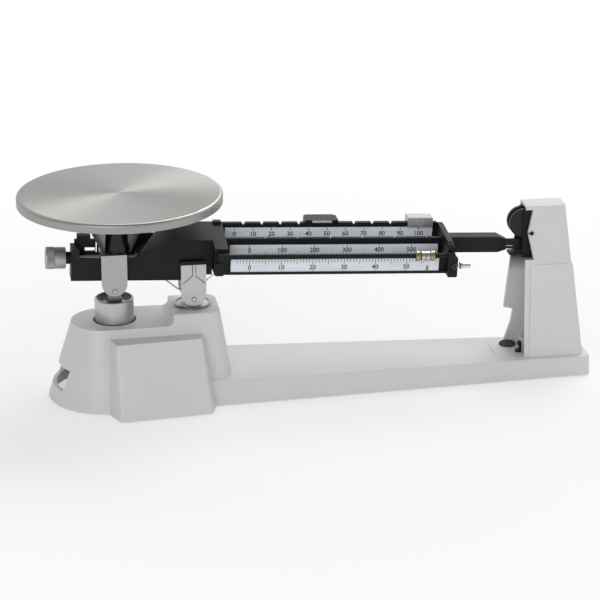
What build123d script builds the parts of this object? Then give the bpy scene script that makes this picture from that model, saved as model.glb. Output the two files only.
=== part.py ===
from build123d import *
import math
import os

# Triple beam balance, millimetres. X runs along the beam, +Y to the back, +Z up.
# The model is drawn about the pan's centre and moved to the middle of its footprint at the end.

# Beam geometry: two knife edges, and the tilt of the unloaded beam on its lower stop
arm_length = 59.0
rest_tilt = 2.75
pan_knife_offset = 6.43
fulcrum_z = 93.0

# Fits and gaps
running_gap = 0.05
pivot_gap = 0.25
side_gap = 0.7
seat_gap = 0.3

# Pan
pan_diameter = 152.4
pan_top_z = 158.5
pan_sheet = 0.9
pan_rim_height = 7.0
pan_edge_radius = 2.2
pan_stud_diameter = 8.0
pan_stud_length = 11.0

# Base casting: hump, front boss, deck
wall = 3.0
rim_lift = 0.8
hump_center_reach = 5.57
hump_end_radius = 46.0
hump_right_reach = 29.5
hump_right_half = 38.0
hump_corner = 13.0
hump_top_z = 59.4
pedestal_drop = 25.2
pedestal_left_reach = 16.5
pedestal_center_reach = 8.47
pedestal_end_radius = 21.8
pedestal_right_reach = 19.0
pedestal_right_half = 20.8
pedestal_corner = 8.0
pedestal_cove = 5.0
hump_edge_fillet = 1.6
boss_top_z = 53.2
boss_front_y = 63.5
boss_lean = 22.2
boss_skew_low = 7.1
boss_skew_high = 4.8
boss_left_low = 8.0
boss_left_high = 8.9
boss_right_low = 8.0
boss_right_high = 2.7
boss_flare_low = 13.0
boss_flare_high = 6.6
boss_side_low = 6.5
boss_side_high = 2.8
boss_back_low = 34.0
boss_back_high = 18.0
boss_fillet = 3.0
window_low_z = 11.5
window_high_z = 27.5
window_half_width = 21.5
deck_start_reach = 7.5
deck_margin = 6.0
deck_start_half = 37.2
deck_end_half = 23.2
deck_start_z = 19.1
deck_end_z = 15.6
deck_start_flare = 5.0
deck_end_flare = 2.0
deck_edge_fillet = 2.0
deck_corner = 6.0
deck_rib_pitch = 55.0
deck_rib_count = 4
deck_rib_thickness = 2.5
deck_groove_reach = 21.8
deck_groove_half = 14.0
deck_groove_width = 0.9
deck_groove_depth = 0.6
foot_radius = 7.0
foot_recess = 1.2
foot_boss_height = 22.0
left_foot_reach = 23.57
left_foot_y = 25.0
right_foot_margin = 14.5
right_foot_y = 12.0

# Fulcrum bracket and the seat under it
cheek_inner_y = 8.9
cheek_thickness = 3.0
fulcrum_cheek_half = 9.4
fulcrum_cheek_below = 22.6
fulcrum_cheek_above = 9.8
cap_height = 2.9
post_half_x = 5.2
seat_ring_radius = 14.0
seat_ring_wall = 1.9
seat_ring_height = 1.8
cross_pin_radius = 1.5
fulcrum_pin_drop = 17.4
groove_width = 0.6
groove_depth = 0.5
groove_half_slit = 1.15

# Knives and their bearings
knife_half_width = 2.6
knife_height = 3.4
knife_half_length = 10.7
bearing_half_width = 3.6
bearing_depth = 2.0
bearing_height = 4.0
bearing_half_angle = 60.0
edge_gap = 0.15

# Pan support: stirrup, hanger sleeve, stem and spider
stirrup_half = 9.5
stirrup_below = 14.3
stirrup_above = 17.6
stirrup_bridge = 2.3
hanger_head_drop = 5.3
stirrup_pin_drop = 10.8
sleeve_radius = 14.7
sleeve_wall = 1.6
sleeve_drop = 19.13
sleeve_height = 19.7
sleeve_recess = 4.2
sleeve_hole_gap = 1.8
stem_radius = 3.0
hub_shift = 2.8
hub_radius = 8.9
spider_base_radius = 11.2
spider_rim_radius = 31.2
spider_wall = 2.2
spider_plate = 3.0
spider_window_margin = 0.3
spider_side_window_half = 3.5
spider_side_sill = 9.0
spider_rim_band = 4.0
socket_wall = 3.0

# Check link below the stirrup, parallel to the beam
link_pivot_z = 30.0
link_thickness = 3.6
link_half_height = 3.5
link_eye_radius = 5.0
link_pin_radius = 2.0
link_ear_thickness = 4.0
link_ear_half = 6.5
stem_pin_radius = 1.5

# Arm casting, in the beam's own frame with the fulcrum edge at its origin
arm_half_width = cheek_inner_y - side_gap
arm_wall = 2.4
arm_floor = 2.4
channel_step_x = 6.0
channel_step_z = 1.0
arm_overhang = 32.0
arm_bottom_z = -3.3
arm_wall_top_z = 14.0
arm_rise_reach = 15.0
web_start_reach = 18.5
web_start_z = 19.2
web_knee_x = -12.2
web_front_z = 28.0
web_back_start_reach = 33.0
web_back_start_z = 25.4
web_back_z = 33.0
web_back_y = 22.0
web_thickness = 3.0
end_block_length = 6.0
end_block_top_z = 21.0
back_lug_inset = 3.0
back_lug_length = 16.0
back_lug_top_z = 24.5
back_tab_inset = 5.0
back_tab_length = 10.0
back_tab_reach = 4.0
back_slot_length = 7.5
back_slot_height = 3.0
back_slot_low_z = 15.2
lower_slot_height = 1.8
lower_slot_low_z = 8.4
back_tab_top_z = 27.5
skirt_left_reach = -11.0
skirt_left_z = 21.0
skirt_low_z = 5.0
skirt_rise_length = 20.0
skirt_rise_z = 25.5
skirt_thickness = 2.4
shoulder_left_x = 14.0
shoulder_right_x = 24.0
shoulder_bottom_z = 5.4
arm_edge_fillet = 0.8
drop_lug_width = 6.5
drop_lug_depth = 3.4
drop_lug_bottom_z = 5.6
drop_lug_top_z = 15.5

# Scale bars
bar_length = 166.0
bar_thickness = 4.0
rear_bar_y = 20.0
rear_bar_top_z = 32.8
rear_bar_bottom_z = 19.8
middle_bar_top_z = 26.9
middle_bar_bottom_z = 14.4
front_bar_y = -18.4
front_bar_top_z = 17.4
front_bar_bottom_z = 5.4
bar_flange = 0.8
rear_notch_start = 16.6
rear_notch_pitch = 14.2
rear_notch_count = 11
rear_notch_depth = 2.6
middle_notch_start = 30.9
middle_notch_pitch = 24.8
middle_notch_count = 6
middle_notch_depth = 1.4
notch_half_angle = 30.0
rider_rod_radius = 1.9
rider_rod_y = -24.5
rider_rod_z = 20.3
plate_thickness = 0.8
plate_margin_left = 2.2
rear_plate_margin_right = 3.5
rear_plate_top_z = 29.3
rear_plate_bottom_z = 20.4
middle_plate_margin_left = 3.7
middle_plate_margin_right = 3.0
middle_plate_top_z = 22.2
front_plate_margin_right = 5.7
front_plate_top_z = 17.2
front_plate_bottom_z = 7.4

# End plate, lug and tail
end_plate_thickness = 5.0
end_plate_half = 24.0
end_plate_back_z = 33.6
end_plate_front_z = 30.5
end_plate_bottom_z = 10.0
end_lug_bottom_z = 4.0
end_lug_top_z = 19.8
end_lug_extra = 2.5
end_lug_front_y = -27.5
end_lug_back_y = -19.0
tail_half_width = 5.6
tail_bottom_z = 16.3
tail_top_z = 28.5
tail_length = 38.5
tail_neck = 7.0
blade_half_thickness = 1.2
blade_embed = 11.5
blade_length = 36.0
blade_bottom_z = 17.6
blade_top_z = 25.2
blade_slot_length = 19.0
blade_slot_margin = 6.0
blade_slot_z = 19.7
blade_slot_height = 1.0
bail_radius = 0.55
bail_y = -7.0
bail_bend_left_x = -10.8
bail_bend_right_x = 3.0
bail_low_z = -10.6
bail_left_x = -20.6
bail_right_x = 20.5

# Attachment pin on the end lug
attachment_pin_radius = 1.9
attachment_pin_length = 6.0
attachment_neck_radius = 1.3
attachment_neck_length = 2.0
attachment_collar_radius = 2.9
attachment_collar_length = 2.6
attachment_pin_z = 11.9
attachment_pin_y = -23.0

# Zero adjuster
spindle_z = 12.2
spindle_radius = 2.0
spindle_tip_x = -26.0
bush_radius = 4.2
bush_flange_radius = 4.6
bush_flange = 3.3
knob_radius = 8.2
knob_length = 15.0
knob_bevel = 0.9
knob_groove_at = 5.6
knob_to_bush = 0.4
nut_from_arm_end = 53.0
nut_length = 10.0
nut_bottom_drop = 3.9
nut_top_rise = 2.8
tail_bearing_left_x = -27.5
tail_bearing_thickness = 3.0

# Poises
rear_poise_from_end = 23.6
rear_poise_length = 19.4
rear_poise_front_y = 13.8
rear_poise_back_y = 25.6
rear_poise_top_z = 37.6
rear_poise_front_bottom_z = 30.0
rear_poise_back_bottom_z = 26.0
heavy_poise_from_start = 63.8
heavy_poise_length = 25.2
heavy_poise_front_y = 17.4
heavy_poise_back_y = 32.0
heavy_poise_top_z = 35.0
heavy_poise_bottom_z = 22.0
heavy_poise_chamfer = 2.4
tongue_length = 15.0
tongue_thickness = 0.6
tongue_height = 1.6
rider_from_end = 25.0
rider_length = 15.2
rider_radius = 3.95
rider_barrel = 4.0
rider_neck_radius = 2.9
rider_collar_radius = 3.5

# Column
column_wall = 2.2
column_cap = 3.0
column_bottom_half = 19.3
column_top_half = 9.0
column_depth = 45.7
column_lean = 14.5
column_corner = 4.0
blade_insertion = 3.4
notch_depth_x = 5.3
notch_waist_x = 1.0
notch_waist_rise = 20.6
notch_bevel = 1.9
notch_below_waist = 21.0
notch_above_waist = 18.1
ledge_drop = 4.0
ledge_rise = 0.9
ledge_inset = 4.4
wing_top_reach = 5.8
wing_low_reach = 9.1
wing_low_z = 45.5
wing_step_reach = 1.8
wing_foot_reach = 8.0

# Magnets, yoke, stops and index inside the column
magnet_radius = 11.3
magnet_thickness = 3.5
magnet_gap_half = 2.0
magnet_reach = 0.2
magnet_rise = 6.4
magnet_bore = 1.4
yoke_sheet = 1.2
yoke_reach = 1.4
yoke_depth = 16.6
yoke_margin_z = 0.4
yoke_arm_height = 10.0
stop_finger_reach = 9.4
stop_finger_half = 4.4
stop_finger_height = 1.9
stop_pad_reach = 5.3
stop_pad_length = 6.0
stop_pad_height = 1.3
index_offset = 4.4
index_radius = 1.6
index_hole_radius = 0.8
index_proud = 0.7
index_wire_radius = 0.35
index_wire_length = 4.6

# Small things on the deck
bumper_reach = 6.8
bumper_y = 8.8
bumper_radius = 6.4
bumper_height = 1.6
bumper_stem_radius = 3.0
clip_reach = 4.2
clip_half_width = 2.2
clip_y = -7.0
clip_sheet = 1.2
clip_height = 8.5
screw_head_radius = 3.0
screw_head_height = 1.8
screw_shank_radius = 1.6
column_screw_y = 9.0
column_screw_inset = 7.2
column_screw_pitch = 16.0


tilt_cos = math.cos(math.radians(rest_tilt))
tilt_sin = math.sin(math.radians(rest_tilt))
support_x = -pan_knife_offset
support_z = fulcrum_z + arm_length * tilt_sin
fulcrum_x = support_x + arm_length * tilt_cos
hub_x = support_x + hub_shift
cheek_outer_y = cheek_inner_y + cheek_thickness
pan_under_z = pan_top_z - pan_sheet
link_drop = fulcrum_z - link_pivot_z
sleeve_top_z = support_z - sleeve_drop
sleeve_bottom_z = sleeve_top_z - sleeve_height

arm_left_x = -arm_length - arm_overhang
arm_rise_x = -arm_length + arm_rise_reach
web_start_x = -arm_length + web_start_reach
web_back_start_x = -arm_length + web_back_start_reach
skirt_left_x = -arm_length + skirt_left_reach
back_lug_left_x = arm_left_x + back_lug_inset
back_lug_right_x = back_lug_left_x + back_lug_length
back_tab_left_x = arm_left_x + back_tab_inset
nut_center_x = arm_left_x + nut_from_arm_end
bar_right_x = shoulder_right_x + bar_length
tail_left_x = bar_right_x + end_plate_thickness
tail_right_x = tail_left_x + tail_length
blade_root_x = tail_right_x - blade_embed
blade_tip_x = blade_root_x + blade_length
rear_poise_left_x = bar_right_x - rear_poise_from_end
heavy_poise_left_x = shoulder_right_x + heavy_poise_from_start
rider_left_x = bar_right_x - rider_from_end

column_front_left = fulcrum_x + blade_tip_x * tilt_cos - blade_insertion
column_bottom_right = column_front_left + column_depth
column_top_right = column_bottom_right - column_lean
column_reach_left = column_front_left - 2 * wing_low_reach
notch_waist_z = fulcrum_z + notch_waist_rise
notch_low_z = notch_waist_z - notch_below_waist
notch_high_z = notch_waist_z + notch_above_waist
column_top_z = notch_high_z + column_cap
ledge_z = notch_low_z - ledge_drop
magnet_x = column_front_left - magnet_reach
magnet_z = notch_waist_z + magnet_rise
yoke_left_x = column_front_left - yoke_reach
yoke_right_x = yoke_left_x + yoke_depth
yoke_low_z = notch_low_z + yoke_margin_z
yoke_high_z = notch_high_z - yoke_margin_z

pedestal_top_z = fulcrum_z - pedestal_drop
hump_center_x = support_x - hump_center_reach
hump_right_x = fulcrum_x + hump_right_reach
pedestal_left_x = fulcrum_x - pedestal_left_reach
pedestal_center_x = support_x - pedestal_center_reach
pedestal_right_x = fulcrum_x + pedestal_right_reach
deck_start_x = fulcrum_x + deck_start_reach
deck_end_x = column_bottom_right + deck_margin
beyond = 2 * deck_end_x
deck_groove_x = column_front_left - deck_groove_reach
left_foot_x = support_x - left_foot_reach
right_foot_x = deck_end_x - right_foot_margin
bumper_x = column_front_left - bumper_reach
clip_left_x = column_front_left - clip_reach
column_screw_xs = (column_front_left + column_screw_inset,
                   column_front_left + column_screw_inset + column_screw_pitch)
base_left_x = -pan_diameter / 2
origin_x = (base_left_x + deck_end_x) / 2

parts = {}


def block(x0, x1, y0, y1, z0, z1):
    """Box between two corners."""
    return Pos((x0 + x1) / 2, (y0 + y1) / 2, (z0 + z1) / 2) * Box(x1 - x0, y1 - y0, z1 - z0)


def upright(x, y, z0, z1, radius):
    """Cylinder along Z between two heights."""
    return Pos(x, y, (z0 + z1) / 2) * Cylinder(radius, z1 - z0)


def crosswise(x, z, y0, y1, radius):
    """Cylinder along Y between two depths."""
    return Pos(x, (y0 + y1) / 2, z) * Rot(90, 0, 0) * Cylinder(radius, y1 - y0)


def lengthwise(y, z, x0, x1, radius):
    """Cylinder along X between two stations."""
    return Pos((x0 + x1) / 2, y, z) * Rot(0, 90, 0) * Cylinder(radius, x1 - x0)


def side_profile(points, y0, y1):
    """Outline drawn in X and Z, as thick as from y0 to y1."""
    face = make_face(Polyline(*points, close=True))
    return extrude(Plane.XZ.offset(-y1) * face, amount=y1 - y0)


def end_profile(points, x0, x1):
    """Outline drawn in Y and Z, as long as from x0 to x1."""
    face = make_face(Polyline(*points, close=True))
    return extrude(Plane.YZ.offset(x0) * face, amount=x1 - x0)


def plan_profile(points, z0, z1):
    """Outline drawn in X and Y, as high as from z0 to z1."""
    face = make_face(Polyline(*points, close=True))
    return extrude(Plane.XY.offset(z0) * face, amount=z1 - z0)


def blend(low, high, share):
    """Value part of the way from low to high."""
    return low + (high - low) * share


def mirrored_pair(solid):
    """A piece and its mirror image across the centre plane, as two solids."""
    return Compound(children=[solid, mirror(solid, about=Plane.XZ)])


def on_beam(solid):
    """Place a piece drawn in the beam's frame at the beam's rest tilt."""
    return Pos(fulcrum_x, 0, fulcrum_z) * Rot(0, rest_tilt, 0) * solid


def hump_outline(z, inset):
    """Plan of the hump at one height: round at the left end, two small corners at the right."""
    share = z / pedestal_top_z
    center = blend(hump_center_x, pedestal_center_x, share)
    radius = blend(hump_end_radius, pedestal_end_radius, share) - inset
    right = blend(hump_right_x, pedestal_right_x, share) - inset
    half = blend(hump_right_half, pedestal_right_half, share) - inset
    corner = max(blend(hump_corner, pedestal_corner, share) - inset, wall)
    reach = corner * (1 - math.sqrt(0.5))
    outline = ThreePointArc((center, -radius), (center - radius, 0), (center, radius))
    outline += Line((center, radius), (right - corner, half))
    outline += ThreePointArc((right - corner, half), (right - reach, half - reach), (right, half - corner))
    outline += Line((right, half - corner), (right, corner - half))
    outline += ThreePointArc((right, corner - half), (right - reach, reach - half), (right - corner, -half))
    outline += Line((right - corner, -half), (center, -radius))
    return Plane.XY.offset(z) * make_face(outline)


def hump_body(z0, z1, inset):
    return loft([hump_outline(z0, inset), hump_outline(z1, inset)], ruled=True)


def boss_outline(z, inset):
    """Plan of the slanted front boss at one height."""
    share = z / boss_top_z
    left = blend(-boss_left_low, -boss_left_high, share)
    right = fulcrum_x + blend(boss_right_low, boss_right_high, share)
    front = -boss_front_y + boss_lean * share
    skew = blend(boss_skew_low, boss_skew_high, share)
    back = -blend(boss_back_low, boss_back_high, share)
    left_front = (left + inset, front + inset)
    right_front = (right - inset, front + skew + inset)
    right_back = (right + blend(boss_side_low, boss_side_high, share) - inset, back)
    left_back = (left - blend(boss_flare_low, boss_flare_high, share) + inset, back)
    corners = Polyline(left_front, right_front, right_back, left_back, close=True)
    return Plane.XY.offset(z) * make_face(corners)


def boss_body(z0, z1, inset):
    return loft([boss_outline(z0, inset), boss_outline(z1, inset)], ruled=True)


def deck_outline(x, inset, bottom):
    """Cross-section of the deck at one station, wider at its foot."""
    share = (x - deck_start_x) / (deck_end_x - deck_start_x)
    half = blend(deck_start_half, deck_end_half, share) - inset
    top = blend(deck_start_z, deck_end_z, share) - inset
    foot = half + blend(deck_start_flare, deck_end_flare, share)
    corners = Polyline((-foot, bottom), (foot, bottom), (half, top), (-half, top), close=True)
    return Plane.YZ.offset(x) * make_face(corners)


def deck_body(x0, x1, inset, bottom):
    return loft([deck_outline(x0, inset, bottom), deck_outline(x1, inset, bottom)], ruled=True)


def deck_top_z(x):
    return blend(deck_start_z, deck_end_z, (x - deck_start_x) / (deck_end_x - deck_start_x))


def base_casting():
    """One hollow casting: hump with its pedestal, slanted front boss and long deck."""
    hump = hump_body(rim_lift, pedestal_top_z, 0)
    step = block(-beyond, pedestal_left_x, -beyond, beyond, hump_top_z, pedestal_top_z + beyond)
    cove_edge = step.edges().filter_by(Axis.Y).group_by(Axis.Z)[0].sort_by(Axis.X)[-1]
    hump -= fillet(cove_edge, pedestal_cove)
    top_rim = hump.faces().filter_by(Axis.Z).group_by(Axis.Z)[-1].edges()
    hump = chamfer(top_rim, hump_edge_fillet / 2)
    boss = boss_body(rim_lift, boss_top_z, 0)
    slanted = [e for e in boss.edges() if abs(e.center().Z - boss_top_z / 2) < boss_top_z / 4
               and e.center().Y < -boss_back_low]
    boss = fillet(slanted, boss_fillet)
    deck = deck_body(deck_start_x, deck_end_x, 0, rim_lift)
    right_end = deck.faces().sort_by(Axis.X)[-1]
    ends = [e for e in right_end.edges() if abs(e.tangent_at(0.5).Z) > 0.5]
    deck = fillet(ends, deck_corner)
    top_edges = deck.faces().filter_by(lambda f: f.normal_at().Z > 0.9).sort_by(Axis.Z)[-1].edges()
    deck = fillet([e for e in top_edges if e.center().X > deck_start_x + 1], deck_edge_fillet)
    casting = hump + boss + deck

    casting -= hump_body(-1, hump_top_z - wall, wall)
    casting -= boss_body(-1, boss_top_z - wall, wall)
    hollow = deck_body(deck_start_x, deck_end_x - wall, wall, -1)
    for k in range(deck_rib_count):
        x = hump_right_x + deck_rib_pitch * (k + 1)
        hollow -= block(x, x + deck_rib_thickness, -beyond, beyond, rim_lift + wall, beyond)
    casting -= hollow

    outer = hump + deck
    for x, y, high in foot_places():
        casting += upright(x, y, rim_lift, high, foot_radius + 2) & outer
        casting -= upright(x, y, rim_lift - 1, rim_lift + foot_recess, foot_radius)
    ear_top = hump_top_z - wall
    ear_y0 = link_thickness / 2 + seat_gap
    for side in (-1, 1):
        y0, y1 = sorted((side * ear_y0, side * (ear_y0 + link_ear_thickness)))
        ear = block(fulcrum_x - link_ear_half, fulcrum_x + link_ear_half, y0, y1, link_pivot_z, ear_top)
        casting += ear + crosswise(fulcrum_x, link_pivot_z, y0, y1, link_ear_half)
    casting -= crosswise(fulcrum_x, link_pivot_z, -20, 20, link_pin_radius)

    casting -= upright(fulcrum_x - arm_length, 0, hump_top_z - 10, hump_top_z + 10, sleeve_radius + sleeve_hole_gap)
    casting -= block(-beyond, support_x - sleeve_radius - 2 * wall, -window_half_width, window_half_width, window_low_z, window_high_z)
    groove_z = deck_top_z(deck_groove_x)
    casting -= block(deck_groove_x, deck_groove_x + deck_groove_width, -deck_groove_half, deck_groove_half,
                     groove_z - deck_groove_depth, groove_z + 1)
    casting -= upright(bumper_x, bumper_y, 0, 30, bumper_stem_radius)
    for x in column_screw_xs:
        for y in (-column_screw_y, column_screw_y):
            casting -= upright(x, y, 0, 30, screw_shank_radius + running_gap)
    return casting


def foot_places():
    """Centre and boss height of each foot."""
    return [(left_foot_x, -left_foot_y, foot_boss_height), (left_foot_x, left_foot_y, foot_boss_height),
            (right_foot_x, -right_foot_y, deck_end_z), (right_foot_x, right_foot_y, deck_end_z)]


def feet():
    pads = [upright(x, y, 0, rim_lift + foot_recess, foot_radius) for x, y, high in foot_places()]
    return Compound(children=pads)


def cheek(half, x, bottom_z, top_z):
    """Front cheek plate: straight sides with a half-round foot."""
    plate = block(x - half, x + half, -cheek_outer_y, -cheek_inner_y, bottom_z + half, top_z)
    return plate + crosswise(x, bottom_z + half, -cheek_outer_y, -cheek_inner_y, half)


def bearing_pocket(x, z, direction, extra):
    """Room in a cheek for a bearing block and the knife's end, in world position."""
    low, high = sorted((z - direction * bearing_height, z + direction * (knife_height + 1.6)))
    return block(x - bearing_half_width - extra, x + bearing_half_width + extra,
                 -cheek_inner_y - bearing_depth, -cheek_inner_y + 1, low, high)


def v_bearing(x, z, direction):
    """Hard block with a V groove whose bottom lies just clear of the knife's edge."""
    root = z - direction * edge_gap
    spread = bearing_half_width + 1
    rise = direction * spread / math.tan(math.radians(bearing_half_angle))
    mouth = z + direction * (edge_gap + 1.6)
    low, high = sorted((z - direction * bearing_height, mouth))
    body = block(x - bearing_half_width, x + bearing_half_width,
                 -cheek_inner_y - bearing_depth, -cheek_inner_y, low, high)
    notch = side_profile([(x, root), (x + spread, root + rise), (x + spread, root + rise + direction * 9),
                          (x - spread, root + rise + direction * 9), (x - spread, root + rise)],
                         -cheek_outer_y, 0)
    return body - notch


def fulcrum_bracket():
    """U bracket on the pedestal: round base, centre post and two cheeks."""
    low = fulcrum_z - fulcrum_cheek_below
    front = cheek(fulcrum_cheek_half, fulcrum_x, low, fulcrum_z + fulcrum_cheek_above)
    front -= bearing_pocket(fulcrum_x, fulcrum_z, 1, 0)
    front -= cheek_groove()
    post_top = fulcrum_z - fulcrum_pin_drop + 5.0
    post = block(fulcrum_x - post_half_x, fulcrum_x + post_half_x, -cheek_inner_y, cheek_inner_y,
                 pedestal_top_z, post_top)
    floor_radius = seat_ring_radius - seat_ring_wall
    base = upright(fulcrum_x, 0, pedestal_top_z, pedestal_top_z + 1.2, floor_radius)
    bracket = front + mirror(front, about=Plane.XZ) + post + base
    pin_z = fulcrum_z - fulcrum_pin_drop
    return bracket - crosswise(fulcrum_x, pin_z, -20, 20, cross_pin_radius)


def cheek_groove():
    """Shallow inverted Y on the outside of the front cheek."""
    apex = fulcrum_z + 1.2
    top = fulcrum_z + fulcrum_cheek_above + cap_height
    y0, y1 = -cheek_outer_y, -cheek_outer_y + groove_depth
    slits = []
    for side in (-1, 1):
        inner = fulcrum_x + side * groove_half_slit
        outer = fulcrum_x + side * (fulcrum_cheek_half + 1)
        fall = apex - (fulcrum_cheek_half + 1 - groove_half_slit) * 0.78
        slits.append(side_profile([(inner, top), (inner, apex), (outer, fall), (outer, fall - groove_width),
                                   (inner - side * groove_width, apex - groove_width),
                                   (inner - side * groove_width, top)], y0, y1))
    return slits[0] + slits[1]


def fulcrum_caps():
    """Dark caps on top of the two cheeks."""
    z0 = fulcrum_z + fulcrum_cheek_above
    cap = block(fulcrum_x - fulcrum_cheek_half, fulcrum_x + fulcrum_cheek_half,
                -cheek_outer_y, -cheek_inner_y, z0, z0 + cap_height)
    cap = fillet(cap.edges().filter_by(Axis.Y).group_by(Axis.Z)[-1], 0.8) - cheek_groove()
    return mirrored_pair(cap)


def seat_ring():
    ring = upright(fulcrum_x, 0, pedestal_top_z, pedestal_top_z + seat_ring_height, seat_ring_radius)
    ring -= upright(fulcrum_x, 0, pedestal_top_z - 1, pedestal_top_z + 9, seat_ring_radius - seat_ring_wall)
    return chamfer(ring.edges().filter_by(GeomType.CIRCLE).group_by(Axis.Z)[-1], 0.5)


def knife(x, z, direction):
    """Triangular knife across the arm; its edge points down for +1 and up for -1."""
    base = z + direction * knife_height
    return side_profile([(x, z), (x + knife_half_width, base), (x - knife_half_width, base)],
                        -knife_half_length, knife_half_length)


def arm_casting():
    """Arm of the beam: open channel, raised web and the shoulder that carries the bars."""
    half, inner = arm_half_width, arm_half_width - arm_wall
    front_top = [(arm_left_x, arm_wall_top_z), (arm_rise_x, arm_wall_top_z), (web_start_x, web_start_z - 1.5),
                 (web_knee_x, web_front_z - 1.5), (shoulder_left_x, web_front_z - 1.5)]
    outline = [(arm_left_x, arm_bottom_z)] + front_top + [(shoulder_left_x, channel_step_z), (channel_step_x, channel_step_z),
                                                     (channel_step_x, arm_bottom_z)]
    channel = side_profile(outline, -half, half)
    channel -= block(arm_left_x + end_block_length, shoulder_left_x - arm_wall, -inner, inner,
                     arm_bottom_z + arm_floor, 60)
    channel += block(arm_left_x, arm_left_x + end_block_length, -half, half, arm_bottom_z, end_block_top_z)
    channel += block(back_lug_left_x, back_lug_right_x, inner, half, arm_wall_top_z - 1, back_lug_top_z)
    channel += block(back_tab_left_x, back_tab_left_x + back_tab_length, inner, half + back_tab_reach, back_lug_top_z - 2, back_tab_top_z)
    slot_right_x = back_lug_right_x - arm_wall / 4
    for low, height in ((back_slot_low_z, back_slot_height), (lower_slot_low_z, lower_slot_height)):
        channel -= block(slot_right_x - back_slot_length, slot_right_x, inner - 1, half + 1, low, low + height)
    channel += block(tail_bearing_left_x, tail_bearing_left_x + tail_bearing_thickness, -inner, inner,
                     arm_bottom_z + arm_floor, arm_wall_top_z)

    def web_section(y, start_x, start_z, level):
        points = [(start_x, start_z), (web_knee_x, level), (shoulder_right_x, level),
                  (shoulder_right_x, level - web_thickness), (web_knee_x, level - web_thickness),
                  (start_x, start_z - web_thickness)]
        return Plane.XZ.offset(-y) * make_face(Polyline(*points, close=True))

    web = loft([web_section(-half, web_start_x, web_start_z, web_front_z),
                web_section(web_back_y, web_back_start_x, web_back_start_z, web_back_z)], ruled=True)
    slope = (web_back_z - web_front_z) / (web_back_y + half)
    front_y = -web_back_y
    front_level = web_front_z + slope * (front_y + half)
    shoulder = end_profile([(front_y, shoulder_bottom_z), (front_y, front_level), (web_back_y, web_back_z),
                            (web_back_y, rear_bar_bottom_z - 1), (half, shoulder_bottom_z)],
                           shoulder_left_x, shoulder_right_x)
    skirt = side_profile([(skirt_left_x, skirt_low_z), (skirt_left_x, skirt_left_z),
                          (skirt_left_x + skirt_rise_length, skirt_rise_z), (web_back_start_x, web_back_start_z - 1),
                          (web_knee_x, web_back_z - 1), (shoulder_right_x, web_back_z - 1),
                          (shoulder_right_x, rear_bar_bottom_z), (web_knee_x, rear_bar_bottom_z - 6)],
                         web_back_y - skirt_thickness, web_back_y)
    boss = block(shoulder_left_x + 2, shoulder_right_x, rider_rod_y - 3, front_y,
                 rider_rod_z - 3.4, rider_rod_z + 2.6)
    lug = block(shoulder_left_x, shoulder_left_x + drop_lug_width, front_y - drop_lug_depth, front_y,
                drop_lug_bottom_z, drop_lug_top_z)
    lug = fillet(lug.edges().filter_by(Axis.Y), arm_edge_fillet)
    lug += block(shoulder_left_x, shoulder_left_x + drop_lug_width, front_y, front_y + 3,
                 drop_lug_bottom_z + 2, shoulder_bottom_z + 4)
    upper_lug = block(shoulder_left_x + 3, shoulder_right_x - 1, web_back_y - 5, web_back_y,
                      web_back_z - 1, web_back_z + 1.4)
    arm = channel + web + skirt + shoulder + boss + lug + upper_lug
    arm -= knife(0, 0, 1)
    arm -= knife(-arm_length, 0, -1)
    arm -= lengthwise(0, spindle_z, arm_left_x - 1, arm_left_x + end_block_length + 1, bush_radius)
    arm -= lengthwise(0, spindle_z, tail_bearing_left_x - 1, spindle_tip_x + 1.5, spindle_radius + running_gap)
    arm -= lengthwise(rider_rod_y, rider_rod_z, shoulder_right_x - 6, shoulder_right_x + 1, rider_rod_radius)
    return on_beam(arm)


def notches(first_x, pitch, count, top_z, depth, y0, y1):
    """Row of V notches cut down from a bar's top edge."""
    half = depth * math.tan(math.radians(notch_half_angle))
    cutters = []
    for k in range(count):
        x = first_x + pitch * k
        cutters.append(side_profile([(x, top_z - depth), (x + half, top_z + 0.01), (x - half, top_z + 0.01)], y0, y1))
    return cutters


def rear_bar():
    y0, y1 = rear_bar_y - bar_thickness / 2, rear_bar_y + bar_thickness / 2
    bar = block(shoulder_right_x, bar_right_x, y0, y1, rear_bar_bottom_z, rear_bar_top_z)
    for cutter in notches(shoulder_right_x + rear_notch_start, rear_notch_pitch, rear_notch_count,
                          rear_bar_top_z, rear_notch_depth, y0 - 1, y1 + 1):
        bar -= cutter
    return on_beam(bar)


def middle_bar():
    half = bar_thickness / 2
    bar = block(shoulder_right_x, bar_right_x, -half, half, middle_bar_bottom_z, middle_bar_top_z)
    for cutter in notches(shoulder_right_x + middle_notch_start, middle_notch_pitch, middle_notch_count,
                          middle_bar_top_z, middle_notch_depth, -half - 1, half + 1):
        bar -= cutter
    return on_beam(bar)


def front_bar():
    half = bar_thickness / 2
    bar = block(shoulder_right_x, bar_right_x, front_bar_y - half, front_bar_y + half,
                front_bar_bottom_z, front_bar_top_z)
    rail = block(shoulder_right_x, bar_right_x, front_bar_y - half - plate_thickness - bar_flange,
                 front_bar_y - half, front_bar_bottom_z, front_plate_bottom_z - 0.1)
    return on_beam(bar + rail)


def rider_rod():
    rod = lengthwise(rider_rod_y, rider_rod_z, shoulder_right_x - 6, bar_right_x + 2, rider_rod_radius)
    return on_beam(rod)


def scale_plate(x0, x1, face_y, z0, z1):
    return on_beam(block(x0, x1, face_y - plate_thickness, face_y, z0, z1))


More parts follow.
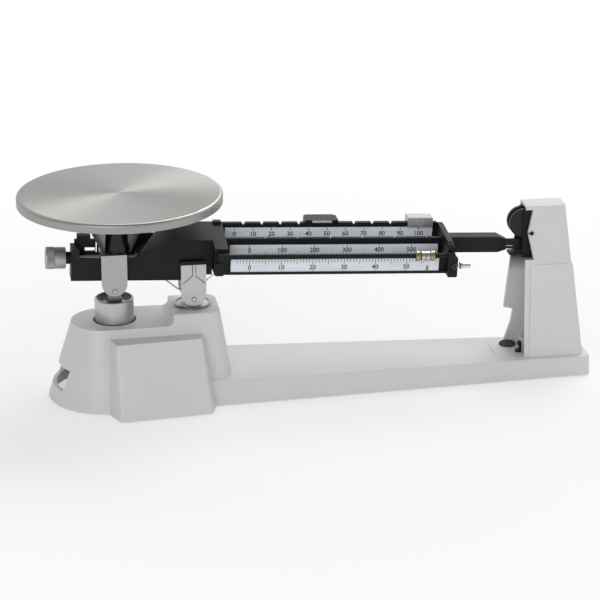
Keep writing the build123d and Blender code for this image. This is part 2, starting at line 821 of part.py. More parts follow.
def end_plate():
    """Cross plate that closes the three bars, with the lug that carries the attachment pin."""
    x0, x1 = bar_right_x, bar_right_x + end_plate_thickness
    plate = end_profile([(-end_plate_half, end_plate_bottom_z), (-end_plate_half, end_plate_front_z - 2),
                         (-end_plate_half + 3, end_plate_front_z), (end_plate_half - 8, end_plate_back_z),
                         (end_plate_half, end_plate_back_z - 3), (end_plate_half, rear_bar_bottom_z - 3),
                         (tail_half_width, end_plate_bottom_z - 4), (-end_plate_half + 6, end_lug_bottom_z)], x0, x1)
    rim = [e for e in plate.faces().sort_by(Axis.X)[-1].edges() if e.center().Z > rear_bar_bottom_z]
    plate = chamfer(rim, 1.6)
    lug = block(x0, x1 + end_lug_extra, end_lug_front_y, end_lug_back_y, end_lug_bottom_z, end_lug_top_z)
    lug = fillet(lug.edges().filter_by(Axis.Y), 1.2)
    plate += lug
    plate += block(x0, x1, end_lug_front_y, -end_plate_half, end_lug_top_z - 1, rider_rod_z + 3)
    plate -= lengthwise(rider_rod_y, rider_rod_z, x0 - 3, bar_right_x + 2, rider_rod_radius)
    plate -= lengthwise(attachment_pin_y, attachment_pin_z, x1, x1 + 9, attachment_neck_radius)
    return on_beam(plate)


def tail():
    """Tail bar with a wedge-shaped neck, slotted for the damper blade."""
    x0, x1 = tail_left_x, tail_right_x
    bar = block(x0, x1, -tail_half_width, tail_half_width, tail_bottom_z, tail_top_z)
    low = (tail_bottom_z + blade_bottom_z) / 2
    neck = loft([Plane.YZ.offset(x1) * Pos(0, (tail_bottom_z + tail_top_z) / 2)
                 * Rectangle(2 * tail_half_width, tail_top_z - tail_bottom_z),
                 Plane.YZ.offset(x1 + tail_neck) * Pos(0, (blade_bottom_z + blade_top_z) / 2)
                 * Rectangle(4 * blade_half_thickness, blade_top_z - blade_bottom_z + 0.6)], ruled=True)
    body = bar + neck
    body -= block(blade_root_x, blade_tip_x, -blade_half_thickness, blade_half_thickness,
                  blade_bottom_z, blade_top_z)
    return on_beam(body - sight_slot())


def sight_slot():
    """Thin slot through the blade and the tip of the tail's neck."""
    slot_right_x = blade_tip_x - blade_slot_margin
    return block(slot_right_x - blade_slot_length, slot_right_x, -beyond, beyond,
                 blade_slot_z - blade_slot_height / 2, blade_slot_z + blade_slot_height / 2)


def damper_blade():
    """Thin blade that swings between the magnets, with a sight slot through it."""
    blade = block(blade_root_x, blade_tip_x, -blade_half_thickness, blade_half_thickness,
                  blade_bottom_z, blade_top_z)
    return on_beam(blade - sight_slot())


def knife_bail():
    """Wire bail under the fulcrum that keeps the beam on its bearings."""
    top_left = (bail_left_x, bail_y, arm_bottom_z)
    top_right = (bail_right_x, bail_y, shoulder_bottom_z)
    low_left = (bail_bend_left_x, bail_y, bail_low_z)
    low_right = (bail_bend_right_x, bail_y, bail_low_z)
    path = FilletPolyline(top_left, low_left, low_right, top_right, radius=2.5)
    profile = Plane(origin=path @ 0, z_dir=path % 0) * Circle(bail_radius)
    wire = sweep(profile, path)
    wire -= block(-beyond, channel_step_x, -beyond, beyond, arm_bottom_z, beyond)
    wire -= block(shoulder_left_x, beyond, -beyond, beyond, shoulder_bottom_z, beyond)
    return on_beam(wire)


def attachment_pin():
    """Turned pin: neck, ball collar and a plain free end."""
    x0 = bar_right_x + end_plate_thickness + end_lug_extra
    x1 = x0 + attachment_neck_length
    x2 = x1 + attachment_collar_length
    x3 = x2 + attachment_pin_length
    pin = lengthwise(attachment_pin_y, attachment_pin_z, x0 - end_lug_extra, x1, attachment_neck_radius)
    collar = lengthwise(attachment_pin_y, attachment_pin_z, x1, x2, attachment_collar_radius)
    collar = chamfer(collar.edges().filter_by(GeomType.CIRCLE), 0.8)
    free = lengthwise(attachment_pin_y, attachment_pin_z, x2 - 0.2, x3, attachment_pin_radius)
    free = chamfer(free.edges().filter_by(GeomType.CIRCLE).sort_by(Axis.X)[-1], 0.3)
    return on_beam(pin + collar + free)


def bar_screws():
    """Small screws that hold the bars' end plate and the lug."""
    x1 = bar_right_x + end_plate_thickness
    heads = []
    for y, z in ((rear_bar_y, rear_bar_bottom_z + 6), (front_bar_y, front_bar_bottom_z + 18)):
        heads.append(lengthwise(y, z, x1, x1 + 1.2, 2.2))
    face = crosswise(x1, attachment_pin_z + 0.8, end_lug_front_y - 0.9, end_lug_front_y, 2.1)
    return on_beam(Compound(children=heads + [face]))


def zero_bush():
    bush = lengthwise(0, spindle_z, arm_left_x, arm_left_x + end_block_length, bush_radius)
    bush += lengthwise(0, spindle_z, arm_left_x - bush_flange, arm_left_x, bush_flange_radius)
    bush -= lengthwise(0, spindle_z, arm_left_x - 5, arm_left_x + 9, spindle_radius + running_gap)
    return on_beam(bush)


def zero_knob():
    """Round knob with a groove between its grip and its plain part."""
    right = arm_left_x - bush_flange - knob_to_bush
    left = right - knob_length
    knob = lengthwise(0, spindle_z, left, right, knob_radius)
    knob = chamfer(knob.edges().filter_by(GeomType.CIRCLE), knob_bevel)
    at = left + knob_groove_at
    ring = lengthwise(0, spindle_z, at, at + 0.5, knob_radius + 1) - lengthwise(0, spindle_z, at, at + 0.5, knob_radius - 0.4)
    knob -= ring
    knob -= lengthwise(0, spindle_z, left + 4, right + 1, spindle_radius)
    return on_beam(knob)


def zero_spindle():
    right = arm_left_x - bush_flange - knob_to_bush
    left = right - knob_length
    rod = lengthwise(0, spindle_z, left + 4, spindle_tip_x, spindle_radius)
    collar = lengthwise(0, spindle_z, right, right + knob_to_bush - 0.2, spindle_radius + 1.2)
    return on_beam(rod + collar)


def balance_nut():
    """Travelling weight on the spindle, kept from turning by the channel's walls."""
    side = arm_half_width - arm_wall - seat_gap
    nut = block(nut_center_x - nut_length / 2, nut_center_x + nut_length / 2, -side, side,
                spindle_z - nut_bottom_drop, spindle_z + nut_top_rise)
    nut = chamfer(nut.edges().filter_by(Axis.X), 0.8)
    return on_beam(nut - lengthwise(0, spindle_z, -70, 0, spindle_radius + running_gap))


def rear_poise():
    """Saddle poise astride the rear bar."""
    x0, x1 = rear_poise_left_x, rear_poise_left_x + rear_poise_length
    half = bar_thickness / 2 + seat_gap
    body = end_profile([(rear_poise_front_y, rear_poise_front_bottom_z), (rear_poise_front_y, rear_poise_top_z),
                        (rear_poise_back_y, rear_poise_top_z), (rear_poise_back_y, rear_poise_back_bottom_z),
                        (rear_bar_y + half, rear_poise_back_bottom_z), (rear_bar_y + half, rear_bar_top_z + seat_gap),
                        (rear_bar_y - half, rear_bar_top_z + seat_gap), (rear_bar_y - half, rear_poise_front_bottom_z)],
                       x0, x1)
    top = [e for e in body.edges() if abs(e.center().Z - rear_poise_top_z) < 0.01]
    return on_beam(chamfer(top, 0.5))


def heavy_poise():
    """Dark poise that hooks over the rear bar and hangs behind it."""
    x0, x1 = heavy_poise_left_x, heavy_poise_left_x + heavy_poise_length
    behind = rear_bar_y + bar_thickness / 2 + seat_gap
    body = end_profile([(heavy_poise_front_y, rear_bar_top_z + seat_gap), (heavy_poise_front_y, heavy_poise_top_z),
                        (heavy_poise_back_y, heavy_poise_top_z), (heavy_poise_back_y, heavy_poise_bottom_z),
                        (behind, heavy_poise_bottom_z), (behind, rear_bar_top_z + seat_gap)], x0, x1)
    corners = body.edges().filter_by(Axis.Z)
    body = chamfer([e for e in corners if e.center().Y > rear_bar_y + 5], heavy_poise_chamfer)
    return on_beam(body)


def poise_tongue():
    """Bright strip along the front of the dark poise's hook."""
    middle = heavy_poise_left_x + heavy_poise_length / 2
    strip = block(middle - tongue_length / 2, middle + tongue_length / 2,
                  heavy_poise_front_y - tongue_thickness, heavy_poise_front_y,
                  rear_bar_top_z + seat_gap, rear_bar_top_z + seat_gap + tongue_height)
    return on_beam(strip)


def rider_spool():
    """Brass spool that slides on the front rod."""
    x0, x1 = rider_left_x, rider_left_x + rider_length
    spool = lengthwise(rider_rod_y, rider_rod_z, x0, x1, rider_neck_radius)
    for a in (x0, x1 - rider_barrel):
        barrel = lengthwise(rider_rod_y, rider_rod_z, a, a + rider_barrel, rider_radius)
        spool += chamfer(barrel.edges().filter_by(GeomType.CIRCLE), 0.8)
    return on_beam(spool - lengthwise(rider_rod_y, rider_rod_z, x0 - 1, x1 + 1, rider_rod_radius + running_gap))


def rider_collar():
    """Steel sleeve round the spool's neck."""
    x0 = rider_left_x + rider_barrel
    x1 = rider_left_x + rider_length - rider_barrel
    collar = lengthwise(rider_rod_y, rider_rod_z, x0, x1, rider_collar_radius)
    collar = chamfer(collar.edges().filter_by(GeomType.CIRCLE), 0.3)
    return on_beam(collar - lengthwise(rider_rod_y, rider_rod_z, x0 - 1, x1 + 1, rider_neck_radius))


def stirrup():
    """Stirrup that hangs from the pan knife: two cheeks joined by a bridge over the arm."""
    front = cheek(stirrup_half, support_x, support_z - stirrup_below, support_z + stirrup_above)
    front -= bearing_pocket(support_x, support_z, -1, 0)
    bridge = block(support_x - stirrup_half, support_x + stirrup_half, -cheek_inner_y, cheek_inner_y,
                   support_z + stirrup_above - stirrup_bridge, support_z + stirrup_above)
    body = front + mirror(front, about=Plane.XZ) + bridge
    return body - crosswise(support_x, support_z - stirrup_pin_drop, -20, 20, cross_pin_radius)


def hanger_head():
    """Block between the cheeks' feet that carries the sleeve and the stem."""
    floor = sleeve_top_z - sleeve_recess
    head = block(support_x - post_half_x, support_x + post_half_x, -cheek_inner_y, cheek_inner_y,
                 floor, support_z - hanger_head_drop)
    return head - crosswise(support_x, support_z - stirrup_pin_drop, -20, 20, cross_pin_radius)


def hanger_sleeve():
    """Round sleeve weight with a shallow cup on top."""
    sleeve = upright(support_x, 0, sleeve_bottom_z, sleeve_top_z, sleeve_radius)
    sleeve = chamfer(sleeve.edges().filter_by(GeomType.CIRCLE), 0.5)
    floor = sleeve_top_z - sleeve_recess
    sleeve -= upright(support_x, 0, floor, sleeve_top_z + 1, sleeve_radius - sleeve_wall)
    return sleeve - upright(support_x, 0, sleeve_bottom_z - 1, sleeve_bottom_z + 6, stem_radius)


def check_stem():
    """Stem down to the check link, ending in a fork."""
    pin_z = support_z - link_drop
    fork_top = pin_z + link_eye_radius + 2.0
    rod = upright(support_x, 0, fork_top, sleeve_bottom_z + 6, stem_radius)
    outer = link_thickness / 2 + seat_gap + 2.4
    fork = block(support_x - 4.5, support_x + 4.5, -outer, outer, pin_z - 4.5, fork_top + 2.5)
    slot = link_thickness / 2 + seat_gap
    fork -= block(support_x - 9, support_x + 9, -slot, slot, pin_z - 9, fork_top - 1.0)
    return rod + fork - crosswise(support_x, pin_z, -20, 20, stem_pin_radius)


def pin_across(x, z, half, radius):
    return crosswise(x, z, -half, half, radius)


def support_hub():
    """Dark hub on the bridge, inside the spider."""
    z0 = support_z + stirrup_above
    return upright(hub_x, 0, z0, pan_under_z - seat_gap - spider_plate, hub_radius)


def support_spider():
    """Conical support with windows, its plate under the pan and the socket for the pan's stud."""
    z0 = support_z + stirrup_above
    z1 = pan_under_z - seat_gap - spider_plate
    z2 = pan_under_z - seat_gap
    r0, r1 = spider_base_radius, spider_rim_radius
    profile = Polyline((hub_radius, z0), (r0, z0), (r1, z1), (r1, z2), (0, z2), (0, z1),
                       (r1 - spider_wall * 1.6, z1), (hub_radius, z0 + 2.5), close=True)
    cone = revolve(Plane.XZ * make_face(profile), Axis.Z)
    window_half = hub_radius + spider_window_margin
    cone -= block(-window_half, window_half, -60, 60, z0 - 1, z1 - spider_rim_band)
    cone -= block(0, 60, -spider_side_window_half, spider_side_window_half, z0 + spider_side_sill, z1 - spider_rim_band)
    cone = Pos(hub_x, 0, 0) * cone
    cone -= upright(hub_x, 0, z0 - 1, z1, hub_radius)
    socket = upright(0, 0, z1 - pan_stud_length, z2, pan_stud_diameter / 2 + socket_wall)
    socket -= upright(hub_x, 0, z0 - 1, z1, hub_radius)
    cone += socket
    return cone - upright(0, 0, z1 - 0.5, z2 + 1, pan_stud_diameter / 2 + running_gap)


def pan_dish():
    """Pressed dish: flat disc with a rounded edge and a turned-down rim."""
    r, t, e = pan_diameter / 2, pan_sheet, pan_edge_radius
    low = pan_top_z - pan_rim_height
    outline = Line((0, pan_top_z), (r - e, pan_top_z))
    outline += ThreePointArc((r - e, pan_top_z), (r - e + e * math.sqrt(0.5), pan_top_z - e + e * math.sqrt(0.5)),
                             (r, pan_top_z - e))
    outline += Line((r, pan_top_z - e), (r, low))
    outline += Line((r, low), (r - t, low))
    outline += Line((r - t, low), (r - t, pan_top_z - e))
    k = e - t
    outline += ThreePointArc((r - t, pan_top_z - e), (r - e + k * math.sqrt(0.5), pan_top_z - e + k * math.sqrt(0.5)),
                             (r - e, pan_top_z - t))
    outline += Line((r - e, pan_top_z - t), (0, pan_top_z - t))
    outline += Line((0, pan_top_z - t), (0, pan_top_z))
    return revolve(Plane.XZ * make_face(outline), Axis.Z)


def pan_stud():
    """Stud under the pan that drops into the spider's socket."""
    z1 = pan_under_z
    z0 = z1 - seat_gap - spider_plate + 0.2
    return upright(0, 0, z0, z1, pan_stud_diameter / 2)


def check_link():
    """Link parallel to the beam, drawn about its base pivot."""
    bar = block(-arm_length, 0, -link_thickness / 2, link_thickness / 2, -link_half_height, link_half_height)
    for x in (-arm_length, 0):
        bar += crosswise(x, 0, -link_thickness / 2, link_thickness / 2, link_eye_radius)
    bar -= crosswise(0, 0, -9, 9, link_pin_radius + running_gap)
    bar -= crosswise(-arm_length, 0, -9, 9, stem_pin_radius + pivot_gap)
    return Pos(fulcrum_x, 0, link_pivot_z) * Rot(0, rest_tilt, 0) * bar


def column_half(z):
    share = (z - deck_top_z(column_bottom_right)) / (column_top_z - deck_top_z(column_bottom_right))
    return blend(column_bottom_half, column_top_half, share)


def column_right(z):
    share = (z - deck_top_z(column_bottom_right)) / (column_top_z - deck_top_z(column_bottom_right))
    return blend(column_bottom_right, column_top_right, share)


def column_body(z0, z1, left, inset, rise=0.0):
    """Tapered column between two heights, drawn in or out from its faces."""
    sections = []
    for z in (z0, z1):
        right = column_right(z) - inset + rise
        half = column_half(z) - inset + rise
        sections.append(Plane.XY.offset(z) * Pos((left + right) / 2, 0) * Rectangle(right - left, 2 * half))
    body = loft(sections, ruled=True)
    if inset > 0:
        return body
    corners = [e for e in body.edges() if abs(e.tangent_at(0.5).Z) > 0.5 and e.center().X > left + 20]
    return fillet(corners, column_corner)


def deck_cut():
    """Wedge below the deck's sloping top, which trims what stands on it."""
    x0, x1 = column_reach_left - 20, deck_end_x + 10
    return side_profile([(x0, -5), (x1, -5), (x1, deck_top_z(x1)), (x0, deck_top_z(x0))], -60, 60)


def column_casting():
    """Tapered column, open to the left, with a pointed notch for the index and a wing at the back."""
    low = deck_end_z - 2
    shell = column_body(low, column_top_z, column_reach_left, 0)
    shell += column_body(low, ledge_z, column_front_left + ledge_inset, 0, ledge_rise)
    shell -= column_body(low - 2, column_top_z - column_cap, column_reach_left - 5, column_wall)
    x = column_front_left
    far = column_reach_left - 5
    front_trim = [(far, low - 5), (x, low - 5), (x, notch_low_z), (x + notch_depth_x, notch_low_z),
                  (x + notch_waist_x, notch_waist_z), (x + notch_depth_x, notch_high_z), (x, notch_high_z),
                  (x, column_top_z + 5), (far, column_top_z + 5)]
    shell -= side_profile(front_trim, -60, 0)
    shell -= notch_bevel_cut()
    back_trim = [(far, low - 5), (x - wing_foot_reach, low - 5), (x - wing_foot_reach, deck_end_z),
                 (x - wing_step_reach - 1, wing_low_z - 12), (x - wing_step_reach, wing_low_z - 2),
                 (x - wing_low_reach, wing_low_z), (x - wing_top_reach, ledge_z),
                 (x, column_top_z - column_cap - 2), (x, column_top_z + 5), (far, column_top_z + 5)]
    shell -= side_profile(back_trim, 0, 60)
    top = shell.faces().sort_by(Axis.Z)[-1].edges()
    shell = fillet(top, 0.8)
    for sx in column_screw_xs:
        for sy in (-column_screw_y, column_screw_y):
            lug = upright(sx, sy, low, deck_top_z(sx) + 6, screw_shank_radius + 2.6)
            shell += lug + block(sx - 2, sx + 2, min(sy, 1.9 * sy), max(sy, 1.9 * sy), low, deck_top_z(sx) + 6)
    shell -= deck_cut()
    for sx in column_screw_xs:
        for sy in (-column_screw_y, column_screw_y):
            shell -= upright(sx, sy, 0, deck_top_z(sx) + 5, screw_shank_radius)
    return shell


def notch_outline(y, grow):
    """Outline of the notch's pointed edge at one depth, drawn out by the bevel."""
    x = column_front_left
    right = x + notch_depth_x + grow
    points = [(x - 1, notch_low_z), (right, notch_low_z), (x + notch_waist_x + grow, notch_waist_z),
              (right, notch_high_z), (x - 1, notch_high_z)]
    return Plane.XZ.offset(-y) * make_face(Polyline(*points, close=True))


def notch_bevel_cut():
    """Tapered cutter that opens the notch towards the front."""
    outer, inner = -column_half(notch_low_z) - 0.5, -column_half(notch_high_z) + column_wall
    return loft([notch_outline(outer, notch_bevel), notch_outline(inner, 0)], ruled=True)


def column_screws():
    """Four screws from under the deck into the column's feet."""
    screws = []
    for x in column_screw_xs:
        seat = deck_top_z(x) - wall
        for y in (-column_screw_y, column_screw_y):
            head = upright(x, y, seat - 0.3 - screw_head_height, seat - 0.3, screw_head_radius)
            screws.append(head + upright(x, y, seat - 0.3, seat + wall + 4.5, screw_shank_radius))
    return Compound(children=screws)


def magnet(side):
    y0, y1 = sorted((side * magnet_gap_half, side * (magnet_gap_half + magnet_thickness)))
    disc = crosswise(magnet_x, magnet_z, y0, y1, magnet_radius)
    disc = chamfer(disc.edges().filter_by(GeomType.CIRCLE), 0.5)
    return disc - crosswise(magnet_x, magnet_z, -20, 20, magnet_bore)


def magnet_yoke():
    """Sheet yoke that holds both magnets, with an arm to the column's far wall and the lower stop."""
    inner = magnet_gap_half + magnet_thickness
    outer = inner + yoke_sheet
    yoke = block(yoke_left_x, yoke_right_x, -outer, outer, yoke_low_z, yoke_high_z)
    yoke -= block(yoke_left_x - 1, yoke_right_x - yoke_sheet, -inner, inner, yoke_low_z - 1, yoke_high_z + 1)
    arm_top = notch_waist_z + yoke_arm_height / 2
    reach = column_right(arm_top) - column_wall
    yoke += block(yoke_right_x - 0.5, reach, -inner, inner, arm_top - yoke_arm_height, arm_top)
    finger_top = stop_surface_z() - stop_pad_height
    finger = block(yoke_left_x - stop_finger_reach, yoke_left_x + 2.5, -stop_finger_half, stop_finger_half,
                   finger_top - stop_finger_height, finger_top)
    finger += block(yoke_left_x, yoke_left_x + 2.5, -outer, outer, finger_top - stop_finger_height, finger_top)
    return yoke + finger


def blade_point(x, z, tilt):
    """World place of a point of the beam at a tilt."""
    a = math.radians(tilt)
    return fulcrum_x + x * math.cos(a) + z * math.sin(a), fulcrum_z - x * math.sin(a) + z * math.cos(a)


def stop_surface_z():
    """Top of the lower pad, a seat gap under the blade's tip at rest."""
    return blade_point(blade_tip_x, blade_bottom_z, rest_tilt)[1] - seat_gap


def lower_stop_pad():
    top = stop_surface_z()
    x0 = column_front_left - stop_pad_reach
    return block(x0, x0 + stop_pad_length, -stop_finger_half + 1, stop_finger_half - 1,
                 top - stop_pad_height, top)


def upper_stop_pad():
    """Pad under the column's cap that the blade meets at full tilt."""
    low = blade_point(blade_tip_x, blade_top_z, -rest_tilt)[1] + seat_gap
    return block(column_front_left + 1.0, column_front_left + 1.0 + stop_pad_length,
                 -magnet_gap_half + 0.2, magnet_gap_half - 0.2, low, column_top_z - column_cap)


def index_pointer():
    """Ring and short wire on the column's edge that mark zero."""
    y_face = -column_half(notch_waist_z)
    x = column_front_left + index_offset
    ring = crosswise(x, notch_waist_z, y_face - index_proud, y_face + 1.0, index_radius)
    ring -= crosswise(x, notch_waist_z, -40, y_face + 0.2, index_hole_radius)
    wire = lengthwise(y_face - index_proud + index_wire_radius, notch_waist_z,
                      x - index_radius - index_wire_length, x - index_radius + 0.4, index_wire_radius)
    return ring + wire


def deck_bumper():
    """Rubber button whose stem plugs into the deck."""
    z = deck_top_z(bumper_x - bumper_radius)
    button = upright(bumper_x, bumper_y, z, z + bumper_height, bumper_radius)
    button = chamfer(button.edges().filter_by(GeomType.CIRCLE).group_by(Axis.Z)[-1], 0.6)
    return button + upright(bumper_x, bumper_y, z - wall - 1, z, bumper_stem_radius)


def column_clip():
    """Small angle on the deck at the column's open side."""
    z = deck_top_z(clip_left_x)
    y0, y1 = clip_y - clip_half_width, clip_y + clip_half_width
    right = column_front_left
    profile = [(right, z), (right, z + clip_height), (right - 2 * clip_sheet, z + clip_height - 0.6),
               (right - 2 * clip_sheet, z + clip_height - 3.2), (right - clip_sheet, z + clip_height - 4.0),
               (right - clip_sheet, z + 2 * clip_sheet), (clip_left_x, z + clip_sheet), (clip_left_x, z)]
    return side_profile(profile, y0, y1)


column = column_casting()
column -= crosswise(column_front_left + index_offset, notch_waist_z, -40, 0, index_radius)

parts["base_casting"] = base_casting()
parts["base_feet"] = feet()
parts["column_casting"] = column
parts["column_screws"] = column_screws()
parts["front_magnet"] = magnet(-1)
parts["rear_magnet"] = magnet(1)
parts["magnet_yoke"] = magnet_yoke()
parts["lower_stop_pad"] = lower_stop_pad()
parts["upper_stop_pad"] = upper_stop_pad()
parts["index_pointer"] = index_pointer()
parts["deck_bumper"] = deck_bumper()
parts["column_clip"] = column_clip()
parts["fulcrum_bracket"] = fulcrum_bracket()
parts["fulcrum_bearings"] = mirrored_pair(v_bearing(fulcrum_x, fulcrum_z, 1))
parts["fulcrum_caps"] = fulcrum_caps()
parts["fulcrum_seat_ring"] = seat_ring()
parts["fulcrum_pin"] = pin_across(fulcrum_x, fulcrum_z - fulcrum_pin_drop, cheek_outer_y + 0.4, cross_pin_radius)
parts["link_base_pin"] = pin_across(fulcrum_x, link_pivot_z, link_thickness / 2 + seat_gap + link_ear_thickness,
                                    link_pin_radius)

parts["beam_arm"] = arm_casting()
parts["fulcrum_knife"] = on_beam(knife(0, 0, 1))
parts["pan_knife"] = on_beam(knife(-arm_length, 0, -1))
parts["rear_bar"] = rear_bar()
parts["middle_bar"] = middle_bar()
parts["front_bar"] = front_bar()
parts["rider_rod"] = rider_rod()
parts["rear_scale"] = scale_plate(shoulder_right_x + plate_margin_left, bar_right_x - rear_plate_margin_right,
                                  rear_bar_y - bar_thickness / 2, rear_plate_bottom_z, rear_plate_top_z)
parts["middle_scale"] = scale_plate(shoulder_right_x + middle_plate_margin_left, bar_right_x - middle_plate_margin_right, -bar_thickness / 2,
                                    middle_bar_bottom_z, middle_plate_top_z)
parts["front_scale"] = scale_plate(shoulder_right_x + plate_margin_left, bar_right_x - front_plate_margin_right,
                                   front_bar_y - bar_thickness / 2, front_plate_bottom_z, front_plate_top_z)
parts["end_plate"] = end_plate()
parts["tail_bar"] = tail()
parts["damper_blade"] = damper_blade()
parts["knife_bail"] = knife_bail()
parts["attachment_pin"] = attachment_pin()
parts["bar_screws"] = bar_screws()
parts["zero_bush"] = zero_bush()
parts["zero_knob"] = zero_knob()
parts["zero_spindle"] = zero_spindle()
parts["balance_nut"] = balance_nut()
parts["rear_poise"] = rear_poise()
parts["heavy_poise"] = heavy_poise()
parts["poise_tongue"] = poise_tongue()
parts["rider_spool"] = rider_spool()
parts["rider_collar"] = rider_collar()

parts["stirrup"] = stirrup()
parts["pan_bearings"] = mirrored_pair(v_bearing(support_x, support_z, -1))
parts["stirrup_pin"] = pin_across(support_x, support_z - stirrup_pin_drop, cheek_outer_y + 0.4, cross_pin_radius)
parts["hanger_head"] = hanger_head()
parts["hanger_sleeve"] = hanger_sleeve()
parts["check_stem"] = check_stem()
parts["stem_pin"] = pin_across(support_x, support_z - link_drop, link_thickness / 2 + seat_gap + 2.4,
                               stem_pin_radius)
parts["support_hub"] = support_hub()
parts["support_spider"] = support_spider()
parts["pan_dish"] = pan_dish()
parts["pan_stud"] = pan_stud()
parts["check_link"] = check_link()

os.makedirs("parts", exist_ok=True)
for name, solid in parts.items():
    export_step(Pos(-origin_x, 0, 0) * solid, f"parts/{name}.step")
print("pan knife edge", round(support_x - origin_x, 3), round(support_z, 3), "origin shift", origin_x)
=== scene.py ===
import math

import bmesh
import bpy
from bpy.props import FloatProperty, FloatVectorProperty, IntProperty, PointerProperty
from bpy.types import Operator, Panel, PropertyGroup
from mathutils import Matrix, Vector


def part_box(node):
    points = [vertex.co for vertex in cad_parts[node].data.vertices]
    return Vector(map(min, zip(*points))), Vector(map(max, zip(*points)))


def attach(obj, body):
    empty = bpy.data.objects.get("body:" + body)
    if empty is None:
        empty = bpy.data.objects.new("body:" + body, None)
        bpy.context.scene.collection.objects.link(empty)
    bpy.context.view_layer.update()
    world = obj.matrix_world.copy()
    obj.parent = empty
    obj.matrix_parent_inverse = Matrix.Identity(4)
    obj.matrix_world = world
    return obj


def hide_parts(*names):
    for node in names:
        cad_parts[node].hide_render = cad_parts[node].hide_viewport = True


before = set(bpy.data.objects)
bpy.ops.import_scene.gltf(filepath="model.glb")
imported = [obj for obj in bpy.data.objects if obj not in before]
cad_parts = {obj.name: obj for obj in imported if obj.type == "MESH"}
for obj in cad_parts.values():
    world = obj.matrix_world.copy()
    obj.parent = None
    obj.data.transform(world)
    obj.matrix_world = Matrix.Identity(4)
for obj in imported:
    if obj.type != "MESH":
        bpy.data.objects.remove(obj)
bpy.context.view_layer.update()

bl_info = {
    "name": "Triple beam balance looks",
    "version": (1, 0, 0),
    "blender": (4, 5, 0),
    "location": "View3D > Sidebar > Balance",
    "description": "Finishes, scale markings and small detail pieces of a triple beam balance",
    "category": "Object",
}

MM = 0.001
RIGHT_ANGLE = math.radians(90)
WHITE = (1.0, 1.0, 1.0, 1.0)

# The beam's own frame has its knife as origin; at rest its right end hangs low.
BEAM_TILT = math.radians(2.75)
FULCRUM = Vector((-88.6504, 0.0, 93.0)) * MM
BEAM = Matrix.Translation(FULCRUM) @ Matrix.Rotation(BEAM_TILT, 4, "Y")

# Points on the axes that lathe marks run round, and the axes' directions (metres, radians).
PAN_AXIS = (-141.1525 * MM, 0.0, 0.0)
SLEEVE_AXIS = (-147.5825 * MM, 0.0, 0.0)
SEAT_RING_AXIS = (FULCRUM.x, 0.0, 0.0)
PIN_CENTRE = (FULCRUM.x, 0.0, 30 * MM)
COLUMN_SCREW_AXIS = (0.19, 0.0, 0.0)
CHROME_PIN_CENTRE = (0.0, -24.0 * MM, 92 * MM)
RIDER_CENTRE = BEAM @ (Vector((165.0, -24.5, 20.3)) * MM)
ALONG_Y = (RIGHT_ANGLE, 0.0, 0.0)
ALONG_BEAM = (0.0, RIGHT_ANGLE + BEAM_TILT, 0.0)

# The zero knob in the beam's frame (mm).
KNOB_LEFT = -109.7
KNOB_RIGHT = -94.7
KNOB_AXIS_Z = 12.2
KNOB_RADIUS = 8.2

# The printed plates in the beam's frame (mm): y of the face, x of the zero, step per number.
REAR_PLATE = (17.2, 33.5, 14.22)
MIDDLE_PLATE = (-2.8, 42.5, 24.8)
FRONT_PLATE = (-21.2, 40.3, 23.8)

# Corners of drawn lines as (x, z) in mm.
WEB_LINE = ((-11.1, 2.9), (-4.3, 14.2), (1.3, 14.2), (6.4, 2.2))
CHEEK_LINES = (((-89.4, 104.0), (-89.6, 94.3), (-96.6, 88.6)),
               ((-86.9, 103.8), (-86.9, 94.1), (-80.2, 88.2)))
CHEEK_FACE_Y = -11.9

CAMERA_PLACE = (-0.266277, -1.618481, 0.672165)
CAMERA_TURN = (math.radians(69.706), 0.0, math.radians(-9.12))
LAMP_AIM = Vector((0.0, 0.0, 0.06))
# Name, place and size (metres), share of the lamp power.
LAMPS = (
    ("key_lamp", (0.55, 0.75, 1.35), 1.1, 1.0),
    ("fill_lamp", (-0.75, -1.5, 0.60), 0.9, 0.62),
    ("side_lamp", (1.35, -0.75, 0.8), 0.7, 0.22),
)

# How far apart two coordinates that count as the same may be (metres).
SAME_HEIGHT = 1e-7
SAME_PLACE = 1e-6


class Field:
    """A value that changes over a surface. Arithmetic on it adds Math nodes."""

    def __init__(self, nodes, socket):
        self.nodes = nodes
        self.socket = socket

    def maths(self, operation, first, second):
        return self.nodes.node("Math", {"operation": operation}, {0: first, 1: second})

    def __add__(self, other):
        return self.maths("ADD", self, other)

    __radd__ = __add__

    def __sub__(self, other):
        return self.maths("SUBTRACT", self, other)

    def __rsub__(self, other):
        return self.maths("SUBTRACT", other, self)

    def __mul__(self, other):
        return self.maths("MULTIPLY", self, other)

    __rmul__ = __mul__


def rgba(colour):
    """A colour as a socket takes it. A Field stays as it is."""
    return colour if isinstance(colour, Field) else (*colour[:3], 1.0)


